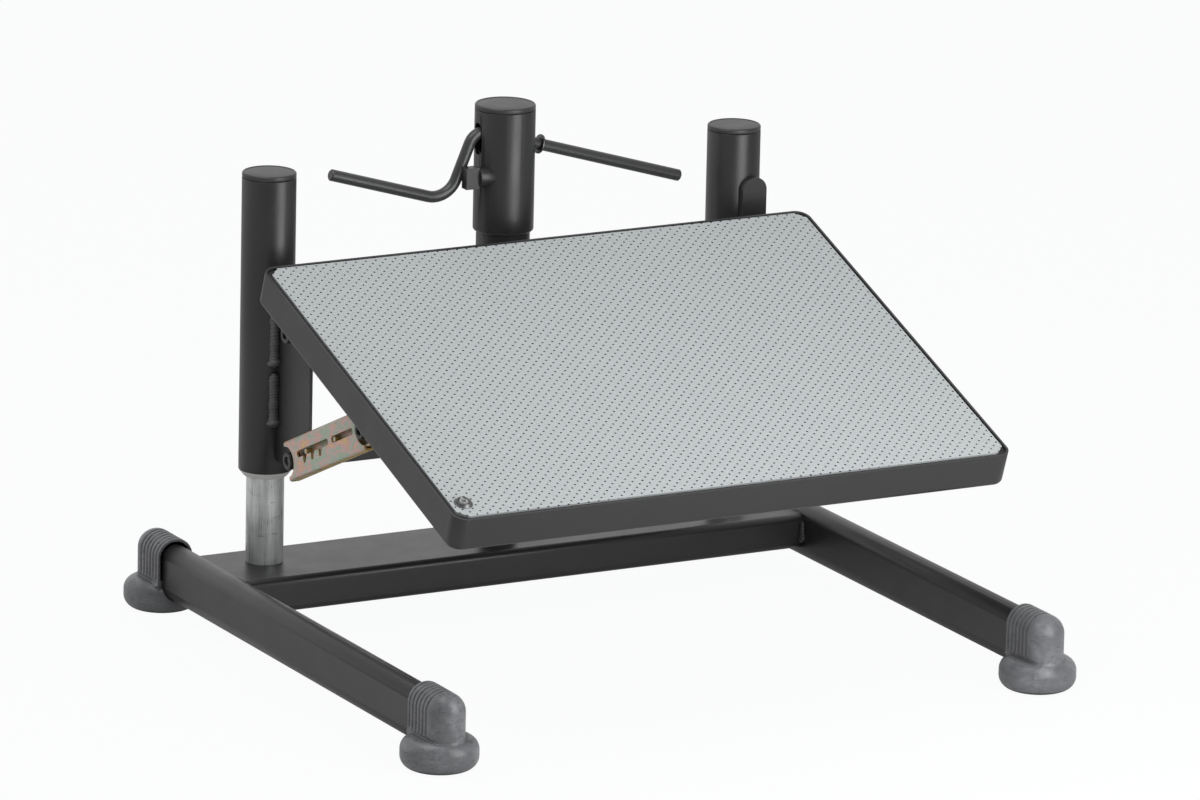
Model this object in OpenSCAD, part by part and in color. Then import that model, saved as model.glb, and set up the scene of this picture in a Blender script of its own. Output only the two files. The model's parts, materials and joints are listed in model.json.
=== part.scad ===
/* [Base] */
// Height of the flat oval leg tube
leg_h = 52.2; // [46:0.2:54]
// Width of the flat oval leg tube
leg_w = 25; // [22:1:28]
// Wall of the leg tube
leg_wall = 2; // [1.5:0.1:3]
// Height of the leg tube's underside above the floor
leg_lift = 14.1; // [12:0.1:15]
// Distance between the middles of the two legs
leg_spacing = 610; // [560:5:680]
// Length of each leg tube that a foot cap takes in
leg_grip = 36; // [30:1:40]
// Depth of the cross beam from front to rear
beam_depth = 105; // [92:1:120]
// Height of the cross beam
beam_h = 33; // [26:1:34]
// Height of the beam's top face above the floor
beam_top = 58.7; // [52:0.1:60]
// Distance of the beam's front face ahead of the column axes
beam_front = 62; // [52:1:70]
// Wall of the cross beam
beam_wall = 2.5; // [2:0.1:3.5]
// Outer edge radius of the cross beam
beam_edge_r = 6; // [4:0.5:8]
// Leg of the weld beads between beam and legs
beam_weld = 5; // [3:0.5:7]

/* [Feet] */
// Distance of the front feet ahead of the column axes
foot_front = 477; // [420:1:540]
// Distance of the rear feet behind the column axes
foot_rear = 86; // [75:1:110]
// Diameter of the round floor disc
disc_d = 70.6; // [66:0.2:80]
// Height of the floor disc
disc_h = 29.2; // [25:0.1:31]
// Radius of the disc's rounded rim
disc_rim_r = 12; // [8:0.5:12.5]
// Width of the foot cap across the leg
cap_w = 35.4; // [34:0.2:40]
// Length of the foot cap along the leg
cap_l = 57; // [52:1:62]
// Height of the foot cap's top above the floor
cap_top = 71.7; // [70:0.1:76]
// Gap round the leg at the foot cap's mouth
mouth_gap = 2.4; // [1:0.1:2.8]
// Depth of the wide mouth of the foot cap
mouth_l = 17; // [8:1:20]
// Number of grooves round each foot cap
groove_count = 6; // [3:1:6]
// Distance between the grooves
groove_pitch = 6.3; // [5:0.1:6.5]
// Width of one groove
groove_w = 2.8; // [1.5:0.1:3.5]
// Depth of one groove
groove_d = 1; // [0.5:0.1:1.4]

/* [Columns] */
// Distance between the axes of the two side columns
column_spacing = 484; // [440:2:520]
// Diameter of the galvanised posts
post_d = 35; // [32:0.5:38]
// Wall of the posts
post_wall = 2.5; // [2:0.1:3.5]
// Length of the posts above the beam
post_l = 265; // [240:1:268]
// Diameter of the sliding tubes and the centre tube
tube_d = 50; // [48:0.5:54]
// Wall of the sliding tubes
tube_wall = 2.5; // [2:0.1:3]
// Length of the sliding tubes
tube_l = 275.3; // [260:0.1:300]
// Height of the sliding tubes' lower ends above the beam
tube_gap = 88.4; // [84:0.2:100]
// Height of the post guide ring
guide_h = 14; // [8:1:16]
// Length of the bushing inside the tube
bush_l = 50; // [30:1:54]
// Height of the bushing's tapered ring below the tube
bush_ring_h = 5.9; // [3:0.1:7]
// Wall left at the lower rim of the bushing's tapered ring
bush_rim = 2.6; // [1.5:0.1:4]
// Height of the caps on top of the tubes
cap_h = 5; // [4:0.2:7]
// Height of the bevel round a cap's top face
cap_bevel = 1.6; // [0.8:0.1:2.5]
// Depth of a cap's plug in its tube
plug_l = 10; // [6:0.5:11]
// Wall of a cap's plug
plug_wall = 2; // [1.5:0.1:3]
// Height and depth of the crossbar between the tubes
crossbar_h = 25; // [24:1:34]
// Wall of the crossbar
crossbar_wall = 2; // [1.5:0.1:3]

/* [Head] */
// Diameter of the head sleeve
head_d = 56.5; // [54:0.5:60]
// Length of the head sleeve
head_l = 115; // [100:1:130]
// Height of the head above the side tubes
head_rise = 41.9; // [38:0.5:50]
// Radius of the sleeve's rounded lower edge
head_edge_r = 2.6; // [1.5:0.1:3]

/* [Gas spring] */
// Diameter of the socket on the beam
socket_d = 35; // [33:0.5:40]
// Height of the socket
socket_h = 50; // [30:1:54]
// Diameter of the gas cylinder
cylinder_d = 28; // [26:0.5:30]
// Length of the gas cylinder
cylinder_l = 243; // [238:1:252]
// Wall of the gas cylinder
cylinder_wall = 2; // [1.5:0.1:2.5]
// Height of the guide in the cylinder's top
gland_h = 15; // [10:1:16]
// Thickness of the cylinder's floor
cylinder_floor = 8; // [4:0.5:10]
// Diameter of the piston rod
rod_d = 10; // [9:0.5:12]
// Height of the piston's underside above the cylinder's foot, at rest
piston_rise = 103; // [100:1:110]
// Height of the piston
piston_h = 10; // [6:0.5:12]
// Diameter of the release pin
pin_d = 5; // [4:0.2:6]
// Length of the release pin
pin_l = 45; // [30:1:60]
// Length of the rod's end above its bridge
rod_end_l = 12; // [9:0.5:14]
// Thickness of the bridge that carries the rod's end
bridge_h = 10; // [8:0.5:14]
// Height of the nut under the bridge
nut_h = 7; // [5:0.5:9]
// Width of the nut over its corners
nut_d = 19; // [17:0.5:22]
// Drop from the lever's middle to the bridge's top face
bridge_drop = 25; // [22:0.5:30]

/* [Lever] */
// Diameter of the lever rod
lever_d = 11; // [9:0.5:12]
// Slope of the lever's arms in degrees, with the right end low
lever_slope = 16.5; // [12:0.5:18]
// Drop from the head sleeve's top edge to the lever on the head's axis
lever_drop = 26.4; // [25:0.2:29]
// Length of the right arm from the head's axis
lever_right = 192.4; // [150:1:220]
// Distance of the crank's upper corner from the head's axis
crank_out = 32.5; // [31:0.5:34]
// Length of the crank between its two corners
crank_l = 70.4; // [64:0.4:80]
// Turn of the crank in degrees
crank_turn = 84; // [78:1:88]
// Bend radius of the crank's upper corner
bend_up_r = 15; // [12:0.5:18]
// Bend radius of the crank's lower corner
bend_low_r = 24; // [18:0.5:28]
// Length of the left arm from the crank's lower corner
lever_left = 126.8; // [90:1:150]
// Chamfer at the lever's two ends
lever_chamfer = 1; // [0.5:0.1:2]
// Diameter of the round hole in the head's right side
lever_hole_d = 15.5; // [15:0.1:17]
// Width of the slot in the head's left side
slot_w = 13; // [12.4:0.1:15]
// Height of the slot in the head's left side
slot_h = 30; // [28:0.5:33]
// Diameter of the retaining ring on the lever
ring_d = 18.3; // [16:0.1:20]
// Thickness of the retaining ring
ring_t = 1.8; // [1:0.1:2.5]
// Distance of the retaining ring from the head's axis, along the arm
ring_out = 37.9; // [36:0.1:42]
// Width of the stop block
block_w = 13.3; // [11:0.1:15]
// Depth of the stop block
block_t = 9.8; // [8:0.1:11]
// Height of the stop block
block_h = 20; // [16:0.5:22]
// Distance of the block's inner face from the head's axis
block_out = 33.7; // [33:0.1:35]
// Drop of the block's middle below the head sleeve's top edge
block_drop = 59.8; // [57:0.2:64]
// Diameter of the round boss that carries the block
boss_d = 19; // [14:0.5:20]

/* [Tray] */
// Width of the tray
tray_w = 565; // [520:1:576]
// Length of the tray from front to rear
tray_l = 417.5; // [380:0.5:450]
// Height of the tray's wall
tray_h = 33.5; // [28:0.5:36]
// Slope of the tray in degrees, front low
tray_tilt = 19.4; // [15:0.2:22]
// Corner radius of the tray
tray_corner_r = 13; // [10:0.5:18]
// Radius of the tray's rounded lower edge
tray_edge_r = 4.5; // [3:0.5:6]
// Wall of the tray
tray_wall = 2.2; // [2:0.1:3]
// Thickness of the tray's floor
tray_floor = 2; // [1.5:0.1:3]
// Height of the tray's rim above the mat
rim_h = 0.6; // [0.4:0.1:3]
// Thickness of the mat
mat_t = 2; // [1.5:0.1:4]
// Gap between the mat and the tray's left wall
mat_gap_left = 4.3; // [0.5:0.1:6]
// Gap between the mat and the tray's right wall
mat_gap_right = 1.6; // [0.5:0.1:6]
// Gap between the mat and the tray's front wall
mat_gap_front = 4.3; // [0.5:0.1:6]
// Gap between the mat and the tray's rear wall
mat_gap_rear = 0.7; // [0.5:0.1:6]
// Length of the mat's cut corners
mat_cut = 9; // [5:0.5:14]
// Gap between the board and the tray's wall
board_gap = 0.5; // [0.3:0.1:1]
// Distance of the corner screw from the tray's left side
screw_side = 18.8; // [16:0.2:30]
// Distance of the corner screw from the tray's front side
screw_front = 26.2; // [20:0.2:32]
// Diameter of the cup washer
washer_d = 17; // [14:0.5:20]
// Height of the cup washer
washer_h = 3.2; // [2:0.1:4]
// Diameter of the corner screw's head
head_screw_d = 10; // [8:0.2:11]
// Diameter of the screws in the board
screw_d = 5; // [4:0.2:6]
// Length of the screws' shanks in the board
screw_l = 14; // [8:0.5:18]

/* [Tilt gear] */
// Distance of the tray's hinge ahead of the column axes
hinge_ahead = 67.5; // [60:0.5:74]
// Height of the tray's hinge above the sliding tubes' lower ends
hinge_up = 143.6; // [135:0.2:155]
// Distance of the strut's lower pivot ahead of the column axes
strut_ahead = 75; // [68:0.5:78]
// Height of the strut's lower pivot above the sliding tubes' lower ends
strut_up = 26.4; // [20:0.2:34]
// Distance of the hinge from the tray's rear side, along the tray
hinge_set = 22.8; // [20:0.2:32]
// Distance of the strut's upper pivot from the tray's rear side
strut_set = 182.5; // [172:0.5:195]
// Depth of both tray pivots below the tray's rim
pivot_drop = 61; // [58:0.5:66]
// Thickness of the side plates
plate_t = 3.2; // [2.5:0.1:4]
// Distance of the side plates' middle from a column's middle plane, outwards
plate_shift = 0; // [0:0.1:2]
// Reach of the side plates ahead of the column axes
plate_ahead = 91; // [88:1:98]
// Margin of the side plates above and below their pivots
plate_margin = 13.4; // [11:0.2:15]
// Corner radius of the side plates
plate_corner_r = 6; // [3:0.5:9]
// Radius of the stitch weld beads
stitch_r = 5.6; // [3:0.1:7]
// Length of one stitch weld bead
stitch_l = 48.5; // [30:0.5:49]
// Gap between the stitch weld beads
stitch_gap = 8.3; // [5:0.1:20]
// Height of the first bead's lower end above the strut's lower pivot
stitch_up = 22.4; // [15:0.2:26]
// Distance of the beads' middle from the side plate's outer face, outwards
stitch_out = 2.6; // [0:0.1:4]
// Outer diameter of the pivot tubes
pivot_tube_d = 16; // [15:0.2:17]
// Diameter of the hinge and strut axles
axle_d = 8; // [7:0.2:9]
// Diameter of the slider axles
slider_axle_d = 6; // [5:0.2:6.4]
// Diameter of the bore in the slider tubes
slider_bore_d = 8.6; // [8.6:0.1:10]
// Diameter of the axles' heads
axle_head_d = 14; // [12:0.5:16]
// Thickness of the axles' heads
axle_head_t = 2; // [1.5:0.1:3]
// Recess of an axle's end in its pivot tube
axle_recess = 2.5; // [1:0.5:5]
// Gap between the side plate and the strut
strut_gap = 1; // [0.5:0.1:2]
// Overall thickness of the strut channel
channel_t = 11.5; // [10:0.1:14]
// Height of the strut channel
channel_h = 37.4; // [36:0.2:42]
// Sheet thickness of the strut channel
sheet_t = 2; // [1.5:0.1:2.2]
// Gap between the channel's coped ends and the pivot tubes
cope_gap = 1.8; // [1:0.1:2.6]
// Outer radius of the channel's folds
fold_r = 2.6; // [2.6:0.1:4]
// Radius of the arched ends of the channel's outer leaf
arch_r = 14; // [12:0.5:16]
// Distance of the arches' middles beyond the pivots
arch_set = 3.6; // [2:0.2:5]
// Reach of the channel beyond the strut's lower pivot
channel_low_end = 4; // [0:0.5:5]
// Reach of the channel beyond the strut's upper pivot
channel_top_end = 2; // [0:0.5:4]
// Reach of the pivot tubes beyond the channel's outer face
tube_proud = 2; // [0.5:0.1:4]
// Height of the channel's two slots
ratchet_h = 6; // [5.4:0.1:7]
// Distance of the toothed slot's near end from the strut's lower pivot
ratchet_start = 20; // [16:1:24]
// Length of the toothed slot
ratchet_l = 68; // [66:1:70]
// Length of the plain slot
guide_slot_l = 46; // [44:0.5:47]
// Width of the bridge between the two slots
slot_bridge = 7; // [5:0.5:8]
// Number of teeth under the toothed slot
tooth_count = 3; // [2:1:3]
// Distance between the teeth
tooth_pitch = 17; // [14:0.5:18]
// Width of one tooth notch at its mouth
tooth_w = 10; // [5:0.5:11]
// Width of one tooth notch at its tip
tooth_tip_w = 4; // [1:0.2:4.6]
// Depth of one tooth notch
tooth_d = 6.5; // [5:0.5:10]
// Distance by which a notch's tip leans towards the lower pivot
tooth_lean = 4; // [0:0.5:5]
// Distance of the first tooth from the slot's near end
tooth_start = 17; // [9:0.5:18]
// Diameter of the slider's two studs
stud_d = 4.6; // [4:0.1:5]
// Gap between the slider and the channel's flanges
slider_gap = 1.4; // [0.8:0.1:2.5]
// Gap between the slider and the channel's leaves
slider_side = 0.5; // [0.4:0.1:0.8]
// Length of the slider from its near end to the strut's upper pivot
slider_l = 128; // [120:1:132]
// Reach of the slider beyond the strut's upper pivot
slider_end = 12; // [9:0.5:14]
// Gap between the side plate and the tray's rail
rail_gap = 0.5; // [0.4:0.1:2]
// Sheet thickness of the rails
rail_t = 4; // [3:0.2:5]
// Width of the rails' top flange
rail_flange = 24; // [20:1:30]
// Radius of the rails' round ends
rail_end_r = 12; // [10:0.5:14]
// Height of the rail screws' heads
screw_head_h = 3; // [2:0.2:4]

/* [Front bar] */
// Width of the short bar on the right column
bar_w = 25; // [20:0.5:30]
// Thickness of the short bar
bar_t = 8; // [5:0.5:9]
// Gap between the short bar's lower end and the side plate below it
bar_gap = 1; // [0.5:0.1:3]
// Distance of the bar's middle from the right column's axis
bar_shift = 5.6; // [0:0.2:8]
// Drop of the bar's top below the right tube's top
bar_drop = 40; // [36:0.5:60]

/* [Hidden] */
$fn = 72;
cut = 1;
fit = 0.05;
axle_play = 0.08;
bend_draw = 0.05;
bend_lap = 0.3;
press_gap = 0.4;
leg_x = leg_spacing / 2;
column_x = column_spacing / 2;
column_y = (foot_front - foot_rear) / 2;
leg_mid = leg_lift + leg_h / 2;
leg_front_end = column_y - foot_front + cap_l / 2 - leg_grip;
leg_rear_end = column_y + foot_rear - cap_l / 2 + leg_grip;
beam_half = leg_x - leg_w / 2;
beam_y = column_y - beam_front + beam_depth / 2;
tube_bottom = beam_top + tube_gap;
tube_top = tube_bottom + tube_l;
tube_r = tube_d / 2;
tube_bore_r = tube_r - tube_wall;
post_top = beam_top + post_l;
head_r = head_d / 2;
head_top = tube_top + head_rise;
centre_tube_l = head_top - tube_bottom;
lever_r = lever_d / 2;
lever_z = head_top - lever_drop;
lever_hole_x = (head_r + tube_bore_r) / 2;
lever_hole_z = lever_z - lever_hole_x * tan(lever_slope);
slot_top = lever_z + head_r * tan(lever_slope) + lever_r / cos(lever_slope) + (slot_w - lever_d) / 2;
bridge_top = lever_z - bridge_drop;
rod_top = bridge_top + rod_end_l;
pin_top = lever_z - lever_r / cos(lever_slope) - pin_d / 2 * tan(lever_slope) - press_gap;
rod_bottom = beam_top + piston_rise;
hinge_z = tube_bottom + hinge_up;
strut_z = tube_bottom + strut_up;
hinge_y = column_y - hinge_ahead;
strut_y = column_y - strut_ahead;
tray_y = hinge_y + hinge_set * cos(tray_tilt) - pivot_drop * sin(tray_tilt);
tray_z = hinge_z + hinge_set * sin(tray_tilt) + pivot_drop * cos(tray_tilt);
upper_y = tray_y - strut_set * cos(tray_tilt) + pivot_drop * sin(tray_tilt);
upper_z = tray_z - strut_set * sin(tray_tilt) - pivot_drop * cos(tray_tilt);
strut_span = norm([strut_y - upper_y, upper_z - strut_z]);
strut_angle = atan2(upper_z - strut_z, strut_y - upper_y);
plate_out_x = column_x + plate_shift + plate_t / 2;
plate_in_x = plate_out_x - plate_t;
channel_in_x = plate_out_x + strut_gap;
channel_out_x = channel_in_x + channel_t;
channel_l = strut_span + channel_low_end + channel_top_end;
pivot_end_x = channel_out_x + tube_proud;
pivot_tube_r = pivot_tube_d / 2;
cope_r = pivot_tube_r + cope_gap;
rail_out_x = plate_in_x - rail_gap;
rail_in_x = rail_out_x - rail_t;
mat_top = -rim_h;
mat_bottom = mat_top - mat_t;
screw_x = -tray_w / 2 + screw_side;
screw_y = -tray_l + screw_front;
rail_screw_x = rail_in_x - rail_flange / 2;
guide_slot_start = ratchet_start + ratchet_l + slot_bridge;
slot_low = -ratchet_h / 12;
stud_rise = slot_low + ratchet_h / 2;
ratchet_stud = ratchet_start + tooth_start;
guide_stud = guide_slot_start + stud_d;

black = [0.13, 0.13, 0.14];
foot_grey = [0.27, 0.27, 0.28];
galvanised = [0.62, 0.64, 0.66];
nylon = [0.74, 0.74, 0.73];
yellow_zinc = [0.76, 0.68, 0.47];
pale_mat = [0.72, 0.76, 0.75];
bright_steel = [0.7, 0.7, 0.72];
board_black = [0.09, 0.09, 0.09];

// Upright flat oval outline, w wide and h high
module oval(w, h) {
    square([w, h - w], center = true);
    translate([0, (h - w) / 2]) circle(d = w);
    translate([0, (w - h) / 2]) circle(d = w);
}

// Rectangle with round corners, centred
module round_rect(w, l, r) {
    square([w, l - 2 * r], center = true);
    square([w - 2 * r, l], center = true);
    for (sx = [-1, 1], sy = [-1, 1]) {
        translate([sx * (w / 2 - r), sy * (l / 2 - r)]) circle(r = r);
    }
}

// Puts children on the left for side -1 and mirrors them to the right for side 1
module on_side(side) {
    if (side < 0) {
        children();
    } else {
        mirror([1, 0, 0]) children();
    }
}

// Plane of the left side: local x runs forward, local y up, local z outwards from x = -out
module side_view(out, y, z, turn) {
    translate([-out, y, z]) rotate([90, 0, -90]) rotate(turn) children();
}

// Tray frame: the origin is the middle of the tray's rear rim, y runs to the rear, z is the tray's normal
module tray_frame() {
    translate([0, tray_y, tray_z]) rotate([tray_tilt, 0, 0]) children();
}

// Lever frame: the origin is the crossing with the head's axis, x runs down the right arm, y is up
module lever_frame() {
    translate([0, column_y, lever_z]) rotate([90, 0, 0]) rotate(-lever_slope) children();
}

// Round bar along local x
module bar_x(d, l) {
    rotate([0, 90, 0]) cylinder(d = d, h = l);
}

// Slot along local x from the origin, h high, cut through a sheet t thick
module slot_cut(l, h, t) {
    translate([0, 0, -cut]) linear_extrude(t + 2 * cut) {
        translate([h / 2, h / 2]) circle(d = h);
        translate([l - h / 2, h / 2]) circle(d = h);
        translate([h / 2, 0]) square([l - h, h]);
    }
}

module leg(side) {
    color(black)
    translate([side * leg_x, leg_rear_end, leg_mid])
    rotate([90, 0, 0])
    linear_extrude(leg_rear_end - leg_front_end)
    difference() {
        oval(leg_w, leg_h);
        oval(leg_w - 2 * leg_wall, leg_h - 2 * leg_wall);
    }
}

module cross_beam() {
    color(black)
    translate([-beam_half, beam_y, beam_top - beam_h / 2])
    rotate([90, 0, 90])
    linear_extrude(2 * beam_half)
    difference() {
        round_rect(beam_depth, beam_h, beam_edge_r);
        round_rect(beam_depth - 2 * beam_wall, beam_h - 2 * beam_wall, beam_edge_r - beam_wall);
    }
}

// Four upright fillet beads in the corners between the beam's faces and the legs
module beam_welds() {
    bead_h = min(beam_h - 2 * beam_edge_r, leg_h - leg_w);
    color(black)
    for (sx = [-1, 1], sy = [-1, 1]) {
        translate([sx * beam_half, beam_y + sy * beam_depth / 2, beam_top - beam_h / 2 - bead_h / 2])
        linear_extrude(bead_h)
        polygon([[0, 0], [-sx * beam_weld, 0], [0, sy * beam_weld]]);
    }
}

// Section of the foot cap: straight sides under a half-round top
module arch(w, top) {
    translate([-w / 2, disc_h / 2]) square([w, top - w / 2 - disc_h / 2]);
    translate([0, top - w / 2]) circle(d = w);
}

// One groove round the foot cap, above the floor disc
module cap_groove() {
    rotate([90, 0, 0])
    linear_extrude(groove_w)
    difference() {
        arch(cap_w + 2 * cut, cap_top + cut);
        arch(cap_w - 2 * groove_d, cap_top - groove_d);
        translate([-cap_w, 0]) square([2 * cap_w, disc_h]);
    }
}

// Foot with its disc's middle at the origin and its leg leaving along +y
module foot_shape() {
    nose_y = -cap_l / 2 + cap_w / 2;
    rim_x = disc_d / 2 - disc_rim_r;
    difference() {
        union() {
            rotate_extrude() {
                square([rim_x, disc_h]);
                translate([rim_x, disc_rim_r]) square([disc_rim_r, disc_h - 2 * disc_rim_r]);
                intersection() {
                    union() {
                        translate([rim_x, disc_rim_r]) circle(r = disc_rim_r);
                        translate([rim_x, disc_h - disc_rim_r]) circle(r = disc_rim_r);
                    }
                    square([disc_d, disc_h]);
                }
            }
            translate([0, cap_l / 2, 0])
            rotate([90, 0, 0])
            linear_extrude(cap_l / 2 - nose_y)
            arch(cap_w, cap_top);
            translate([0, nose_y, 0]) rotate_extrude() intersection() {
                arch(cap_w, cap_top);
                square([cap_w, cap_top]);
            }
        }
        translate([0, disc_d, leg_mid])
        rotate([90, 0, 0])
        linear_extrude(disc_d - cap_l / 2 + leg_grip)
        oval(leg_w + 2 * fit, leg_h + 2 * fit);
        translate([0, cap_l / 2 + cut, leg_mid])
        rotate([90, 0, 0])
        linear_extrude(mouth_l + cut)
        intersection() {
            oval(leg_w + 2 * mouth_gap, leg_h + 2 * mouth_gap);
            translate([-leg_w, disc_h - leg_mid]) square([2 * leg_w, leg_h]);
        }
        for (i = [0:groove_count - 1]) {
            translate([0, cap_l / 2 - groove_w - i * groove_pitch, 0]) cap_groove();
        }
    }
}

module foot(sx, front) {
    color(foot_grey)
    translate([sx * leg_x, column_y - (front ? foot_front : -foot_rear), 0])
    rotate(front ? 0 : 180)
    foot_shape();
}

module post(side) {
    color(galvanised)
    translate([side * column_x, column_y, beam_top])
    difference() {
        cylinder(d = post_d, h = post_l);
        translate([0, 0, -cut]) cylinder(d = post_d - 2 * post_wall, h = post_l + 2 * cut);
    }
}

// Ring at a post's top that slides in the tube, seated on the post's end and in its bore
module post_guide(side) {
    color(nylon)
    translate([side * column_x, column_y, post_top])
    rotate_extrude() {
        translate([post_d / 2 - 2 * post_wall, 0]) square([tube_bore_r - fit - post_d / 2 + 2 * post_wall, post_wall]);
        translate([post_d / 2 - 2 * post_wall, -guide_h]) square([post_wall - fit, guide_h + fit]);
        translate([post_d / 2 + fit, -guide_h]) square([tube_bore_r - post_d / 2 - 2 * fit, guide_h + fit]);
    }
}

module spring_socket() {
    color(black)
    translate([0, column_y, beam_top])
    difference() {
        cylinder(d = socket_d, h = socket_h);
        translate([0, 0, -cut]) cylinder(d = cylinder_d + 2 * fit, h = socket_h + 2 * cut);
    }
}

module gas_cylinder() {
    color(black)
    translate([0, column_y, beam_top])
    difference() {
        cylinder(d = cylinder_d, h = cylinder_l);
        translate([0, 0, cylinder_floor])
        cylinder(d = cylinder_d - 2 * cylinder_wall, h = cylinder_l - cylinder_floor - gland_h);
        translate([0, 0, cylinder_floor]) cylinder(d = rod_d + 2 * fit, h = cylinder_l);
    }
}

module piston_rod() {
    color(bright_steel)
    translate([0, column_y, rod_bottom])
    difference() {
        union() {
            cylinder(d = rod_d, h = rod_top - rod_bottom);
            cylinder(d = cylinder_d - 2 * cylinder_wall - 2 * axle_play, h = piston_h);
        }
        translate([0, 0, rod_top - pin_l - 2 * press_gap - rod_bottom])
        cylinder(d = pin_d + 2 * fit, h = rod_top);
    }
}

module rod_bridge() {
    color(bright_steel)
    translate([0, column_y, bridge_top - bridge_h])
    difference() {
        cylinder(r = tube_bore_r - fit, h = bridge_h);
        translate([0, 0, -cut]) cylinder(d = rod_d + 2 * fit, h = bridge_h + 2 * cut);
    }
}

module rod_nut() {
    color(bright_steel)
    translate([0, column_y, bridge_top - bridge_h - nut_h])
    difference() {
        cylinder(d = nut_d, h = nut_h, $fn = 6);
        translate([0, 0, -cut]) cylinder(d = rod_d + 2 * fit, h = nut_h + 2 * cut);
    }
}

module release_pin() {
    color(bright_steel)
    translate([0, column_y, pin_top - pin_l]) cylinder(d = pin_d, h = pin_l);
}

module side_tube(side) {
    color(black)
    translate([side * column_x, column_y, tube_bottom])
    difference() {
        cylinder(r = tube_r, h = tube_l);
        translate([0, 0, -cut]) cylinder(r = tube_bore_r, h = tube_l + 2 * cut);
    }
}

// Holes through the head's walls: round on the right, an upright slot on the left
module lever_passage() {
    translate([lever_hole_x - tube_wall - head_r + tube_r, column_y, lever_hole_z])
    bar_x(lever_hole_d, head_d);
    translate([-head_d, column_y, slot_top - slot_w / 2]) bar_x(slot_w, head_d);
    translate([-head_d, column_y, slot_top - slot_h + slot_w / 2]) bar_x(slot_w, head_d);
    translate([-head_d, column_y - slot_w / 2, slot_top - slot_h + slot_w / 2])
    cube([head_d, slot_w, slot_h - slot_w]);
}

module tube_centre() {
    color(black)
    difference() {
        translate([0, column_y, tube_bottom]) cylinder(r = tube_r, h = centre_tube_l);
        translate([0, column_y, tube_bottom - cut]) cylinder(r = tube_bore_r, h = centre_tube_l + 2 * cut);
        lever_passage();
    }
}

module head_sleeve() {
    inner_r = tube_r + fit;
    color(black)
    difference() {
        translate([0, column_y, head_top - head_l]) rotate_extrude() {
            translate([inner_r, 0]) square([head_r - head_edge_r - inner_r, head_l]);
            translate([inner_r, head_edge_r]) square([head_r - inner_r, head_l - head_edge_r]);
            translate([head_r - head_edge_r, head_edge_r]) intersection() {
                circle(r = head_edge_r);
                translate([0, -head_edge_r]) square(head_edge_r);
            }
        }
        lever_passage();
    }
}

// Bushing with its running bore on the post and a tapered ring under the tube
module bushing(side) {
    bore_r = post_d / 2 + fit;
    color(nylon)
    translate([side * column_x, column_y, tube_bottom])
    rotate_extrude()
    polygon([
        [bore_r, -bush_ring_h], [bore_r + bush_rim, -bush_ring_h], [tube_r - fit, 0],
        [tube_bore_r - fit, 0], [tube_bore_r - fit, bush_l], [bore_r, bush_l]
    ]);
}

// Round cap with a bevelled top and a hollow plug
module round_cap(r, plug_r) {
    top_r = r - cap_bevel;
    rotate_extrude() {
        polygon([[0, 0], [r, 0], [r, cap_h - cap_bevel], [top_r, cap_h], [0, cap_h]]);
        translate([plug_r - plug_wall, -plug_l]) square([plug_wall, plug_l + cap_bevel]);
    }
}

module side_cap(side) {
    color(black)
    translate([side * column_x, column_y, tube_top]) round_cap(tube_r - fit, tube_bore_r - fit);
}

module head_cap() {
    color(black)
    translate([0, column_y, head_top]) round_cap(head_r - fit, tube_bore_r - fit);
}

// Square tube between the centre tube and one side tube, coped round both
module crossbar(side) {
    color(black)
    difference() {
        translate([side < 0 ? -column_x : 0, column_y - crossbar_h / 2, tube_bottom])
        difference() {
            cube([column_x, crossbar_h, crossbar_h]);
            translate([-cut, crossbar_wall, crossbar_wall])
            cube([column_x + 2 * cut, crossbar_h - 2 * crossbar_wall, crossbar_h - 2 * crossbar_wall]);
        }
        for (x = [0, side * column_x]) {
            translate([x, column_y, tube_bottom - cut]) cylinder(r = tube_r + fit, h = crossbar_h + 2 * cut);
        }
    }
}

// Bend of the lever from the origin's heading, turning clockwise, slightly drawn in as bent rod is
module lever_bend(r, turn) {
    translate([0, -r, 0])
    rotate(90 - turn)
    rotate_extrude(angle = turn)
    translate([r, 0]) circle(r = lever_r - bend_draw);
}

// Arm of the lever from start to a chamfered end, lapping a little into the bend before it
module lever_arm(start, end) {
    translate([start - bend_lap, 0, 0])
    rotate([0, 90, 0])
    rotate_extrude()
    polygon([
        [0, 0], [lever_r, 0], [lever_r, end - lever_chamfer - start + bend_lap],
        [lever_r - lever_chamfer, end - start + bend_lap], [0, end - start + bend_lap]
    ]);
}

module lever_rod() {
    up_tangent = bend_up_r * tan(crank_turn / 2);
    low_tangent = bend_low_r * tan(crank_turn / 2);
    right_start = up_tangent - crank_out;
    color(black)
    lever_frame() {
        lever_arm(right_start, lever_right);
        translate([right_start, 0, 0]) mirror([1, 0, 0]) lever_bend(bend_up_r, crank_turn);
        translate([-crank_out, 0, 0]) rotate(180 + crank_turn) {
            translate([up_tangent - bend_lap, 0, 0]) bar_x(lever_d, crank_l - up_tangent - low_tangent + 2 * bend_lap);
            translate([crank_l - low_tangent, 0, 0]) lever_bend(bend_low_r, crank_turn);
            translate([crank_l, 0, 0]) rotate(-crank_turn) lever_arm(low_tangent, lever_left);
        }
    }
}

module lever_ring() {
    color(black)
    lever_frame()
    translate([ring_out, 0, 0])
    rotate([0, 90, 0])
    difference() {
        cylinder(d = ring_d, h = ring_t, center = true);
        cylinder(d = lever_d + 2 * fit, h = ring_t + 2 * cut, center = true);
    }
}

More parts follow.
